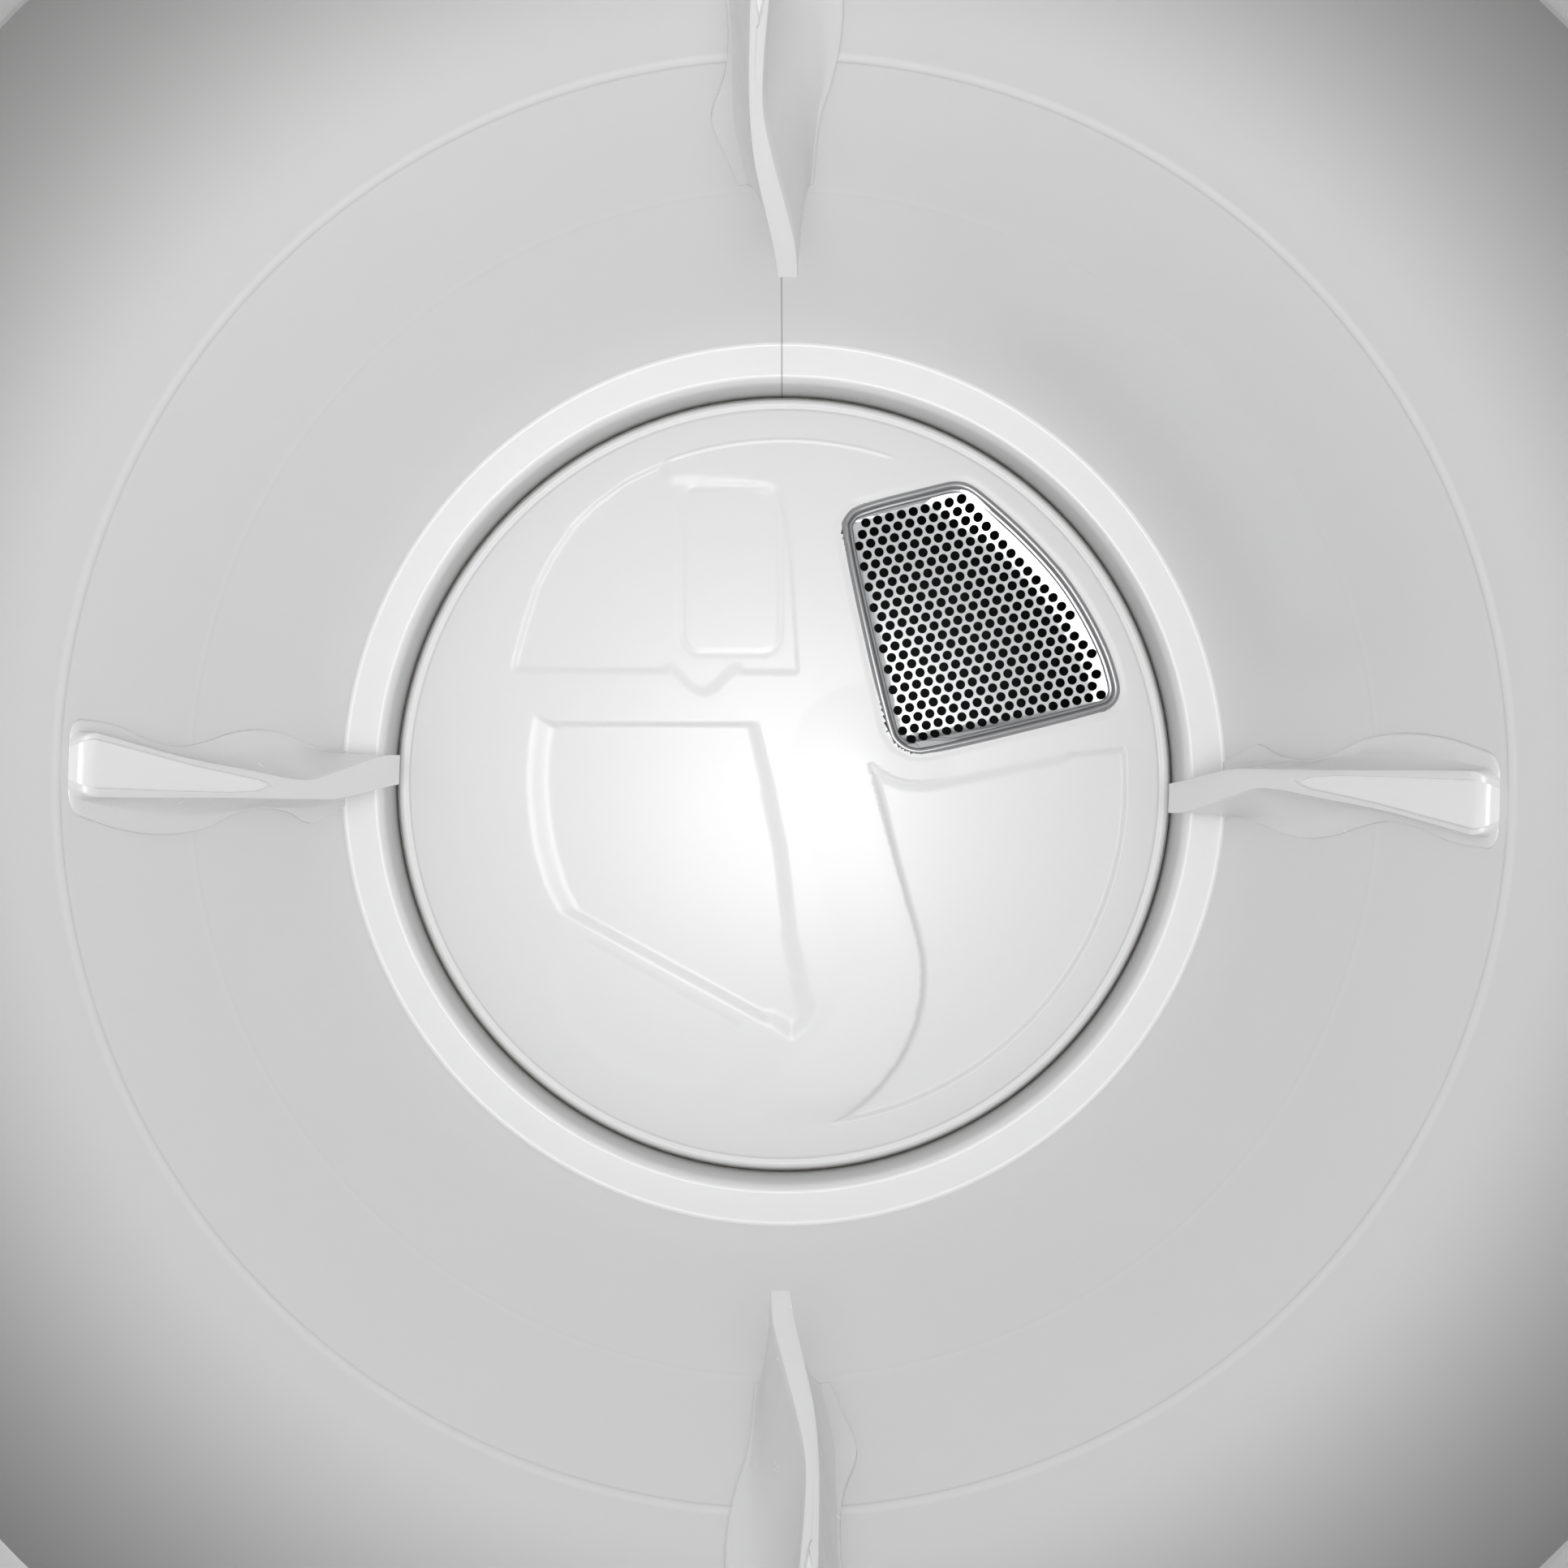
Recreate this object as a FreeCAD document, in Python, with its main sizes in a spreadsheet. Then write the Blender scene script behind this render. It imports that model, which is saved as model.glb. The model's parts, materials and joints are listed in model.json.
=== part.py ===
"""Clothes dryer: a steel cabinet, a belt-driven drum with four baffles, a fixed stamped rear
bulkhead with an air inlet grille, and a round front door on a side hinge.

Millimetres. +Z is up, the front faces -Y, and the origin lies on the floor under the middle of
the cabinet. The drum turns about a line along Y. The door stands a quarter turn open.
"""
import FreeCAD, Part
import math
import os

import Sketcher
from FreeCAD import Placement, Rotation, Vector

doc = FreeCAD.newDocument("clothes_dryer")
sheet = doc.addObject("Spreadsheet::Sheet", "Sizes")

DRIVING_SIZES = {
    # cabinet
    "cabinet_width": 686, "cabinet_depth": 760, "cabinet_height": 991,
    "steel": 1.0, "foot_gap": 22, "lid_rise": 18, "panel_flange": 15, "seam_gap": 0.3,
    "pan_rise": 35, "console_rise": 115, "console_proud": 5, "console_reach": 40,
    "console_wall": 3,
    # drum
    "drum_axis_rise": 585, "drum_bore": 325, "drum_wall": 1.0,
    "drum_front_inset": 85, "drum_back_inset": 130, "neck_bore": 300, "neck_inset": 74,
    "bead_centre": 68,
    "bead_width": 14, "bead_rise": 3,
    # bulkheads and seals
    "disc_radius": 298.2, "disc_inset": 93, "disc_dish": 3, "dish_radius": 265,
    "back_plate_inset": 68, "front_plate_inset": 76, "felt_width": 11,
    "running_gap": 0.3, "throat_radius": 205, "throat_flare": 250, "nose_radius": 317,
    # baffles
    "baffle_length": 309, "baffle_foot": 62, "baffle_crest": 22, "baffle_rise": 44,
    "baffle_nose_rise": 14, "baffle_twist": 5, "front_baffle_back": 35,
    # air path
    "grille_tilt": 13.3, "grille_pitch": 9.5, "grille_bore": 3.4, "grille_steel": 1.2,
    "duct_steel": 1.0, "duct_left": 32, "duct_right": 270, "duct_top": 832, "duct_bottom": 120,
    "heater_bar": 3.5, "vent_bore": 49.8, "vent_wall": 0.8, "vent_x": 75, "vent_rise": 90,
    "vent_stub": 22, "vent_draw": 1.2, "filter_half": 118, "filter_depth": 14, "filter_rise": 150,
    "filter_inset": 44, "filter_gap": 1.5, "moulding": 2,
    # drive
    "motor_x": -95, "motor_rise": 135, "motor_radius": 70, "motor_front": 190,
    "motor_back": 10, "shaft_radius": 6, "pulley_radius": 9.5, "belt_plane": 20,
    "belt_width": 8, "belt_thick": 2, "fan_radius": 94, "fan_inset": 98, "fan_width": 50,
    "idler_radius": 22, "idler_x": 5, "idler_rise": 172, "arm_x": -15, "arm_rise": 60,
    "arm_pin": 5, "bearing_gap": 0.05, "roller_radius": 35, "roller_width": 20,
    "roller_spread": 38, "axle_radius": 5,
    # door
    "door_radius": 252, "door_depth": 49, "door_gap": 3, "door_wall": 3, "window_radius": 171,
    "hinge_x": 262, "hinge_proud": 18, "hinge_pin": 4, "knuckle_radius": 8,
    "hinge_length": 130, "door_turn": -90, "handle_length": 140,
    # controls
    "knob_radius": 32, "knob_reach": 27, "button_width": 34, "button_rise": 16,
    "button_proud": 3, "button_gap": 0.4, "plunger_radius": 4, "foot_radius": 20,
    "foot_stem": 5, "foot_inset": 45,
}


class Size:
    """A size that carries both its number and its formula in the sheet."""

    def __init__(self, number, formula):
        self.number = number
        self.formula = formula

    def joined(self, number, pattern, other):
        return Size(number, pattern.format(self.formula, as_size(other).formula))

    def __add__(self, other):
        return self.joined(self.number + float(other), "({} + {})", other)

    def __sub__(self, other):
        return self.joined(self.number - float(other), "({} - {})", other)

    def __mul__(self, other):
        return self.joined(self.number * float(other), "({} * {})", other)

    def __truediv__(self, other):
        return self.joined(self.number / float(other), "({} / {})", other)

    def __radd__(self, other):
        return as_size(other) + self

    def __rsub__(self, other):
        return as_size(other) - self

    def __rmul__(self, other):
        return as_size(other) * self

    def __neg__(self):
        return 0 - self

    def __float__(self):
        return float(self.number)


def as_size(value):
    """A Size from a plain number, or the Size itself."""
    return value if isinstance(value, Size) else Size(float(value), f"({float(value)})")


class Sheet:
    """The sheet's driving sizes, each one read by its alias."""

    def __init__(self, sizes):
        for row, (alias, number) in enumerate(sizes.items(), start=1):
            sheet.set(f"A{row}", alias)
            sheet.set(f"B{row}", str(number))
            sheet.setAlias(f"B{row}", alias)
            setattr(self, alias, Size(float(number), f"Sizes.{alias}"))


size = Sheet(DRIVING_SIZES)
doc.recompute()
sub_parts = []


def bind(thing, prop, value):
    """Tie one property to its formula in the sheet."""
    thing.setExpression(prop, as_size(value).formula)


def node(thing, label):
    """Name a finished sub-part and keep it for the export."""
    thing.Label = label
    sub_parts.append(thing)
    return thing


def put(thing, x, y, z):
    """Tie a sub-part's place to the sheet."""
    for axis, value in zip("xyz", (x, y, z)):
        bind(thing, f"Placement.Base.{axis}", value)
    return thing


# ---- Primitives and booleans -------------------------------------------------------------

AXIS_TURNS = {
    "x": Rotation(Vector(0, 1, 0), 90),
    "y": Rotation(Vector(1, 0, 0), -90),
    "z": Rotation(),
}


def box(x_span, y_span, z_span):
    """A block between pairs of sizes on each axis."""
    block = doc.addObject("Part::Box", "Block")
    spans = (x_span, y_span, z_span)
    for prop, (low, high) in zip(("Length", "Width", "Height"), spans):
        bind(block, prop, as_size(high) - low)
    return put(block, *(low for low, high in spans))


def rod(axis, centre, radius, span):
    """A round bar along one axis. The centre gives the two other coordinates in order."""
    bar = doc.addObject("Part::Cylinder", "Rod")
    low, high = span
    bind(bar, "Radius", radius)
    bind(bar, "Height", as_size(high) - low)
    bar.Placement = Placement(Vector(), AXIS_TURNS[axis])
    place = list(centre)
    place.insert("xyz".index(axis), low)
    return put(bar, *place)


def joined(*pieces):
    union = doc.addObject("Part::MultiFuse", "Joined")
    union.Shapes = list(pieces)
    return union


def without(base, *tools):
    """The base with every tool cut out of it."""
    cut = doc.addObject("Part::Cut", "Cut")
    cut.Base = base
    cut.Tool = tools[0] if len(tools) == 1 else joined(*tools)
    return cut


def rounded(base, radius, wanted):
    """The base with the edges that pass the test rounded."""
    doc.recompute()
    fillet = doc.addObject("Part::Fillet", "Rounded")
    fillet.Base = base
    edges = [number for number, edge in enumerate(base.Shape.Edges, start=1) if wanted(edge)]
    fillet.Edges = [(number, float(radius), float(radius)) for number in edges]
    return fillet


def along(axis):
    """A test for straight edges that run along one axis."""
    direction = {"x": Vector(1, 0, 0), "y": Vector(0, 1, 0), "z": Vector(0, 0, 1)}[axis]

    def runs_along(edge):
        if not isinstance(edge.Curve, Part.Line):
            return False
        return abs(edge.Curve.Direction.dot(direction)) > 0.999

    return runs_along


def group(*pieces):
    """Separate solids kept together in one sub-part."""
    together = doc.addObject("Part::Compound", "Group")
    together.Links = list(pieces)
    return together


# ---- Sketched bodies ---------------------------------------------------------------------

def new_body(label):
    return node(doc.addObject("PartDesign::Body", label), label)


def new_sketch(body, role, offset=0):
    """A sketch on one of the body's own origin planes, moved along that plane's normal."""
    plane = next(item for item in body.Origin.OriginFeatures if item.Role == role)
    sketch = body.newObject("Sketcher::SketchObject", body.Name + "_sketch")
    sketch.AttachmentSupport = [(plane, "")]
    sketch.MapMode = "FlatFace"
    bind(sketch, "AttachmentOffset.Base.z", offset)
    return sketch


def pin_point(sketch, geometry, position, point):
    """Hold one point of the sketch at a place given by two sizes."""
    for kind, value in zip(("DistanceX", "DistanceY"), point):
        rule = sketch.addConstraint(
            Sketcher.Constraint(kind, -1, 1, geometry, position, float(value)))
        bind(sketch, f"Constraints[{rule}]", value)


def outline(sketch, points):
    """A closed outline of straight lines with every corner tied to the sheet."""
    corners = [Vector(float(x), float(y), 0) for x, y in points]
    first = sketch.GeometryCount
    for start, end in zip(corners, corners[1:] + corners[:1]):
        sketch.addGeometry(Part.LineSegment(start, end))
    for index, point in enumerate(points):
        previous = first + (index - 1) % len(points)
        sketch.addConstraint(Sketcher.Constraint("Coincident", previous, 2, first + index, 1))
        pin_point(sketch, first + index, 1, point)


def rectangle(sketch, x_span, y_span):
    (left, right), (low, high) = x_span, y_span
    outline(sketch, [(left, low), (right, low), (right, high), (left, high)])


def ring(sketch, centre, radius):
    """A circle with its centre and radius tied to the sheet."""
    middle = Vector(float(centre[0]), float(centre[1]), 0)
    circle = sketch.addGeometry(Part.Circle(middle, Vector(0, 0, 1), float(radius)))
    pin_point(sketch, circle, 3, centre)
    rule = sketch.addConstraint(Sketcher.Constraint("Radius", circle, float(radius)))
    bind(sketch, f"Constraints[{rule}]", radius)


def pad(body, sketch, length):
    feature = body.newObject("PartDesign::Pad", body.Name + "_pad")
    feature.Profile = sketch
    bind(feature, "Length", length)
    body.Tip = feature
    return feature


def pocket(body, sketch, length):
    """Cut the sketch out on both sides of its plane and check that metal went."""
    doc.recompute()
    before = body.Shape.Volume
    feature = body.newObject("PartDesign::Pocket", body.Name + "_pocket")
    feature.Profile = sketch
    feature.Midplane = True
    bind(feature, "Length", length)
    body.Tip = feature
    doc.recompute()
    if body.Shape.Volume > before - 0.01:
        raise RuntimeError(f"{body.Label}: the pocket cut nothing")
    return feature


def turned(label, profile, x=0, z=0, y=0):
    """A body turned about a line along Y. The profile lists (radius, y) corners."""
    body = new_body(label)
    sketch = new_sketch(body, "XY_Plane")
    outline(sketch, profile)
    turn = body.newObject("PartDesign::Revolution", body.Name + "_turn")
    turn.Profile = sketch
    turn.ReferenceAxis = (sketch, ["V_Axis"])
    turn.Angle = 360
    body.Tip = turn
    put(body, x, y, z)
    return body


def upright_plate(label, y_front, y_back, x_span, z_span, holes=()):
    """A flat plate across the dryer with round holes at (x, z, radius)."""
    body = new_body(label)
    sketch = new_sketch(body, "XZ_Plane", -as_size(y_back))
    rectangle(sketch, x_span, z_span)
    for x, z, radius in holes:
        ring(sketch, (x, z), radius)
    pad(body, sketch, as_size(y_back) - y_front)
    return body


def solid_feature(label, shape):
    """A sub-part whose shape comes straight from geometry worked out here."""
    thing = doc.addObject("Part::Feature", label)
    thing.Shape = shape
    return node(thing, label)


# ---- Shared places -----------------------------------------------------------------------

half_width = size.cabinet_width / 2
half_depth = size.cabinet_depth / 2
steel = size.steel
vent_inner = size.vent_bore + size.vent_draw
vent_outer = vent_inner + size.vent_wall
gap = size.seam_gap
lid_base = size.cabinet_height - size.lid_rise
console_base = lid_base - size.console_rise
front_face = -half_depth
axis_rise = size.drum_axis_rise
drum_front = front_face + size.drum_front_inset
drum_back = half_depth - size.drum_back_inset
neck_back = half_depth - size.neck_inset
disc_plane = half_depth - size.disc_inset
back_plate = half_depth - size.back_plate_inset
filter_middle = front_face + size.filter_inset
fan_middle = front_face + size.fan_inset
hinge_pivot = (-size.hinge_x, front_face - size.hinge_proud)
drum_outer = size.drum_bore + size.drum_wall
neck_outer = size.neck_bore + size.drum_wall
front_plate_front = front_face + size.front_plate_inset
front_plate_back = front_plate_front + steel
filter_front = filter_middle - size.filter_depth / 2
filter_back = filter_middle + size.filter_depth / 2
duct_inner_front = filter_front - size.filter_gap
duct_inner_back = filter_back + size.filter_gap
duct_inner_half = size.filter_half + size.filter_gap


# ---- Cabinet -----------------------------------------------------------------------------

def side_panel(label, side):
    """A sheet side with flanges turned inwards at the front and the back."""
    outer = side * half_width
    inner = side * (half_width - steel)
    lip = side * (half_width - size.panel_flange)
    front = front_face + steel + gap
    back = half_depth - steel - gap
    body = new_body(label)
    sketch = new_sketch(body, "XY_Plane", size.foot_gap)
    outline(sketch, [
        (outer, front), (outer, back), (lip, back), (lip, back - steel), (inner, back - steel),
        (inner, front + steel), (lip, front + steel), (lip, front)])
    pad(body, sketch, lid_base - gap - size.foot_gap)
    notch = new_sketch(body, "YZ_Plane")
    rectangle(notch, (front - steel, front_face + size.console_reach + gap),
              (console_base - gap, lid_base + steel))
    pocket(body, notch, size.cabinet_width * 1.1)


def rear_panel():
    """The back sheet, with the vent's hole and rows of air slots beside it."""
    back = half_depth
    body = upright_plate(
        "rear_panel", back - steel, back, (-half_width, half_width),
        (size.foot_gap, lid_base - gap),
        [(size.vent_x, size.vent_rise, vent_outer + 1)])
    slots = new_sketch(body, "XZ_Plane", -back)
    slot_half, slot_rise, slot_step, slot_count = 60, 6, 16, 8
    for row in range(slot_count):
        low = size.duct_bottom + 70 + row * slot_step
        rectangle(slots, (-slot_half - 150, slot_half - 150), (low, low + slot_rise))
    pocket(body, slots, 4 * steel)


def top_panel():
    outer = box((-half_width, half_width), (-half_depth, half_depth),
                (lid_base, size.cabinet_height))
    inner = box((-half_width + steel, half_width - steel),
                (-half_depth + steel, half_depth - steel),
                (lid_base - 1, size.cabinet_height - steel))
    corner = 8
    doc.recompute()
    node(without(rounded(outer, corner, along("z")), inner), "top_panel")


def base_pan():
    """The floor tray with four welded nuts that the feet screw through."""
    reach_x = half_width - steel - gap
    reach_y = half_depth - 2 * steel - 2 * gap
    outer = box((-reach_x, reach_x), (-reach_y, reach_y),
                (size.foot_gap, size.foot_gap + size.pan_rise))
    inner = box((-reach_x + steel, reach_x - steel), (-reach_y + steel, reach_y - steel),
                (size.foot_gap + steel, size.foot_gap + size.pan_rise + 1))
    floor = size.foot_gap + steel
    nuts = [box((x - 12, x + 12), (y - 12, y + 12), (floor, floor + 6)) for x, y in foot_places]
    stems = [rod("z", place, size.foot_stem + gap, (0, floor + 10)) for place in foot_places]
    notch = rod("y", (size.vent_x, size.vent_rise), vent_outer + 1,
                (0, half_depth))
    node(without(joined(without(outer, inner), *nuts), notch, *stems), "base_pan")


catch_x = size.door_radius - 13
catch_half_width = 11
catch_half_rise = 15
plunger_angle = math.radians(45)
plunger_ring = size.door_radius - 12
plunger_x = plunger_ring * math.cos(plunger_angle)
plunger_rise = axis_rise + plunger_ring * math.sin(plunger_angle)
foot_places = [(side * (half_width - size.foot_inset), end * (half_depth - size.foot_inset))
               for side in (-1, 1) for end in (-1, 1)]


def front_panel():
    """The front sheet with the round door opening, its turned-in lip and the catch slot."""
    body = upright_plate(
        "front_panel", front_face, front_face + steel, (-half_width, half_width),
        (size.foot_gap, console_base - gap),
        [(0, axis_rise, size.throat_radius),
         (plunger_x, plunger_rise, size.plunger_radius + gap)])
    lip = new_sketch(body, "XZ_Plane", -(front_face + size.panel_flange))
    ring(lip, (0, axis_rise), size.throat_radius)
    ring(lip, (0, axis_rise), size.throat_radius + steel)
    pad(body, lip, size.panel_flange - steel / 2)
    slot = new_sketch(body, "XZ_Plane", -front_face)
    rectangle(slot, (catch_x - catch_half_width, catch_x + catch_half_width),
              (axis_rise - catch_half_rise, axis_rise + catch_half_rise))
    pocket(body, slot, 4 * steel)


# ---- Bulkheads, seals and grille ---------------------------------------------------------

def front_bulkhead():
    """The plate that carries the front rollers, with the flared throat and the drum nose."""
    low = size.motor_rise + size.motor_radius + 45
    throat_front = front_face + size.panel_flange + gap
    plate = without(
        box((-half_width + steel + gap, half_width - steel - gap),
            (front_plate_front, front_plate_back), (low, console_base - gap)),
        rod("y", (0, axis_rise), size.throat_flare, (front_plate_front - 1, front_plate_back + 1)),
        *[rod("y", place, size.axle_radius, (front_plate_front - 1, front_plate_back + 1))
          for place in front_roller_places])
    plate_half = new_body_turn("throat", [
        (size.throat_radius + 2, throat_front), (size.throat_radius + 2 + steel, throat_front),
        (size.throat_flare + steel, front_plate_front), (size.throat_flare + steel, front_plate_back),
        (size.throat_flare, front_plate_back), (size.throat_flare, front_plate_front)])
    nose = new_body_turn("nose", [
        (size.nose_radius - steel, front_plate_back), (size.nose_radius, front_plate_back),
        (size.nose_radius, front_plate_back + 20), (size.nose_radius - steel, front_plate_back + 20)])
    slot = box((-duct_inner_half, duct_inner_half), (duct_inner_front, duct_inner_back),
               (axis_rise - size.throat_flare - 30, axis_rise - size.throat_flare / 2))
    node(without(joined(plate, plate_half, nose), slot), "front_bulkhead")


def new_body_turn(name, profile):
    """A turned ring about the drum axis that becomes part of a boolean."""
    body = doc.addObject("PartDesign::Body", name)
    sketch = new_sketch(body, "XY_Plane")
    outline(sketch, profile)
    turn = body.newObject("PartDesign::Revolution", name + "_turn")
    turn.Profile = sketch
    turn.ReferenceAxis = (sketch, ["V_Axis"])
    turn.Angle = 360
    body.Tip = turn
    return put(body, 0, 0, axis_rise)


def front_seal():
    inner = size.nose_radius
    outer = size.drum_bore - size.running_gap
    start = front_plate_back
    turned("front_seal", [(inner, start), (outer, start), (outer, start + size.felt_width + 8),
                          (inner, start + size.felt_width + 8)], z=axis_rise)


def rear_bulkhead():
    """The fixed disc that closes the drum's back, its skirt and the plate behind."""
    plane, back = disc_plane, back_plate
    rim, dish = size.disc_radius, size.dish_radius
    deep = plane + size.disc_dish
    shell = new_body_turn("disc", [
        (0, deep), (dish - 4, deep), (dish, plane), (rim, plane), (rim, back), (rim - steel, back),
        (rim - steel, plane + steel), (dish + 1, plane + steel), (dish - 3, deep + steel),
        (0, deep + steel)])
    plate = without(
        box((-half_width + steel + gap, half_width - steel - gap), (back, back + steel),
            (size.duct_bottom + 60, lid_base - 20)),
        rod("y", (0, axis_rise), rim - steel, (back - 1, back + 2 * steel)),
        *[rod("y", place, size.axle_radius, (back - 1, back + 2 * steel))
          for place in rear_roller_places])
    window = grille_prism(plane - 1, deep + 2 * steel, -size.grille_pitch * 0.9)
    node(without(joined(shell, plate), window), "rear_bulkhead")


def rear_seal():
    inner = size.disc_radius
    outer = size.neck_bore - size.running_gap
    start = disc_plane + 5
    turned("rear_seal", [(inner, start), (outer, start), (outer, start + size.felt_width),
                         (inner, start + size.felt_width)], z=axis_rise)


# The grille's corners, clockwise from its top left, as places on the disc right of and above
# the drum axis, in hundredths of the disc's radius.
GRILLE_CORNERS = [(14, 66), (19, 72), (42, 78.5), (47, 78), (52, 75), (62, 65.5), (72, 55),
                  (79, 45), (84.5, 34), (87, 26.5), (82, 18.5), (36, 7), (27, 11.5), (25.5, 15.5)]


def grille_points(grow):
    """The grille's corners, moved outwards from its middle by a distance."""
    scale = float(size.disc_radius) / 100
    corners = [Vector(x * scale, 0, y * scale) for x, y in GRILLE_CORNERS]
    middle = sum(corners, Vector()) / len(corners)
    moved = [point + (point - middle).normalize() * grow for point in corners]
    return [point + Vector(0, 0, float(axis_rise)) for point in moved]


def grille_prism(y_front, y_back, grow):
    """A block with the grille's outline, longer or shorter all round by a distance."""
    points = [Vector(p.x, float(y_front), p.z) for p in grille_points(float(grow))]
    face = Part.Face(Part.makePolygon(points + points[:1]))
    prism = doc.addObject("Part::Feature", "Grille_outline")
    prism.Shape = face.extrude(Vector(0, float(y_back) - float(y_front), 0))
    return prism


def air_inlet_grille():
    """The perforated plate that hot air enters through, with tilted staggered rows of holes."""
    front = float(disc_plane)
    thick = float(size.grille_steel)
    corners = [Vector(p.x, front, p.z) for p in grille_points(0)]
    rim = Part.makePolygon(corners + corners[:1])
    inside = Part.Face(Part.makePolygon(
        [Vector(p.x, front, p.z) for p in grille_points(-2 * float(size.grille_bore))] +
        [Vector(grille_points(-2 * float(size.grille_bore))[0].x, front,
                grille_points(-2 * float(size.grille_bore))[0].z)]))
    pitch, bore = float(size.grille_pitch), float(size.grille_bore)
    tilt = Rotation(Vector(0, -1, 0), float(size.grille_tilt))
    start = corners[0]
    holes = []
    rows = int(float(size.disc_radius) / pitch)
    for row in range(-rows, rows):
        for column in range(-rows, rows):
            step = Vector((column + 0.5 * (row % 2)) * pitch, 0, row * pitch * math.sqrt(0.75))
            place = start + tilt.multVec(step)
            if inside.isInside(place, 0.01, True):
                holes.append(Part.Wire(Part.makeCircle(bore, place, Vector(0, 1, 0))))
    sheet_face = Part.Face([rim] + holes)
    sheet_face.validate()
    solid_feature("air_inlet_grille", sheet_face.extrude(Vector(0, -thick, 0)))


# ---- Drum --------------------------------------------------------------------------------

def drum_shell():
    """One turned sheet: front edge, pressed bead, wall, rear shoulder and neck."""
    inner, wall = size.drum_bore, size.drum_wall
    bead_front = -size.bead_centre - size.bead_width / 2
    bead_back = -size.bead_centre + size.bead_width / 2
    rise, slope = size.bead_rise, size.bead_width / 3
    inside = [(inner, drum_front), (inner, bead_front), (inner - rise, bead_front + slope),
              (inner - rise, bead_back - slope), (inner, bead_back), (inner, drum_back),
              (size.neck_bore, drum_back), (size.neck_bore, neck_back)]
    outside = [(neck_outer, neck_back), (neck_outer, drum_back + wall),
               (inner + wall, drum_back + wall), (inner + wall, bead_back),
               (inner + wall - rise, bead_back - slope), (inner + wall - rise, bead_front + slope),
               (inner + wall, bead_front), (inner + wall, drum_front)]
    turned("drum_shell", inside + outside, z=axis_rise)


def baffle(label, angle, y_back, flipped):
    """A hollow plastic lifter: a wedge that rises and twists towards the drum's back."""
    inner = float(size.drum_bore)
    length, foot = float(size.baffle_length), float(size.baffle_foot)
    crest, twist = float(size.baffle_crest), float(size.baffle_twist)
    back = float(y_back)

    def section(share, rise):
        """A trapezoid across the drum, its foot beyond the wall."""
        lean = math.radians(twist) * (share - 0.5) * (-1 if flipped else 1)
        foot_half = foot / 2 * (0.75 + 0.25 * share)
        crest_half = crest / 2 * (0.6 + 0.4 * share)
        top = inner - rise
        y = back - length * (1 - share)
        points = [(inner + 2, -foot_half), (top, -crest_half + lean * inner),
                  (top, crest_half + lean * inner), (inner + 2, foot_half)]
        return Part.makePolygon([Vector(r, y, t) for r, t in points + points[:1]])

    rises = [(0, float(size.baffle_nose_rise)), (0.35, float(size.baffle_rise) * 0.75),
             (1, float(size.baffle_rise))]
    wedge = Part.makeLoft([section(*step) for step in rises], True, True)
    along_drum = Vector(0, 1, 0)
    hollow_drum = Part.makeCylinder(inner, 4 * length, Vector(0, -2 * length, 0), along_drum)
    bead_front = Vector(0, -float(size.bead_centre + size.bead_width / 2), 0)
    bead = Part.makeCylinder(inner + 1, float(size.bead_width), bead_front, along_drum).cut(
        Part.makeCylinder(inner - float(size.bead_rise), float(size.bead_width), bead_front,
                          along_drum))
    shape = wedge.common(hollow_drum).cut(bead)
    lifter = solid_feature(label, shape)
    lifter.Placement = Placement(Vector(0, 0, float(axis_rise)),
                                 Rotation(Vector(0, -1, 0), angle))


# ---- Rollers -----------------------------------------------------------------------------

def roller_places(track_radius):
    """Where the two rollers under a round track have their axles, as (x, z)."""
    reach = track_radius + size.running_gap + size.roller_radius
    spread = math.radians(float(size.roller_spread))
    return [(side * reach * math.sin(spread), axis_rise - reach * math.cos(spread))
            for side in (-1, 1)]


front_roller_places = roller_places(drum_outer)
rear_roller_places = roller_places(neck_outer)
front_roller_plane = drum_front + 30
rear_roller_plane = drum_back + size.drum_wall + 20


def drum_rollers():
    half = size.roller_width / 2
    bore = size.axle_radius + size.bearing_gap
    rows = (("front", front_roller_places, front_roller_plane),
            ("rear", rear_roller_places, rear_roller_plane))
    for row, places, plane in rows:
        for side, (x, z) in zip(("left", "right"), places):
            turned(f"{row}_roller_{side}", [
                (bore, -half), (size.roller_radius, -half), (size.roller_radius, half),
                (bore, half)], x=x, z=z, y=plane)


def roller_shafts():
    """Four axles with heads that keep the rollers on."""
    pieces = []
    head = size.axle_radius + 3
    for x, z in front_roller_places:
        end = front_roller_plane + size.roller_width / 2 + 1
        pieces.append(joined(rod("y", (x, z), size.axle_radius, (front_plate_front - 3, end)),
                             rod("y", (x, z), head, (end, end + 3))))
    for x, z in rear_roller_places:
        end = rear_roller_plane - size.roller_width / 2 - 1
        back = back_plate + steel + 3
        pieces.append(joined(rod("y", (x, z), size.axle_radius, (end, back)),
                             rod("y", (x, z), head, (end - 3, end))))
    node(group(*pieces), "roller_shafts")


# ---- Air path ----------------------------------------------------------------------------

def heater_duct():
    """The upright box behind the grille, open in front of the grille and at its foot."""
    front = back_plate + steel + gap
    back = half_depth - steel - 6
    sheet_wall = size.duct_steel
    outer = box((size.duct_left, size.duct_right), (front, back),
                (size.duct_bottom, size.duct_top))
    inner = box((size.duct_left + sheet_wall, size.duct_right - sheet_wall),
                (front - 1, back - sheet_wall),
                (size.duct_bottom - 1, size.duct_top - sheet_wall))
    vent = rod("y", (size.vent_x, size.vent_rise), vent_outer + 2,
               (front - 1, back + 1))
    node(without(outer, inner, vent), "heater_duct")


heater_rows = 7
heater_step = 26
heater_base = size.duct_bottom + 90
heater_plane = (back_plate + half_depth) / 2


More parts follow.
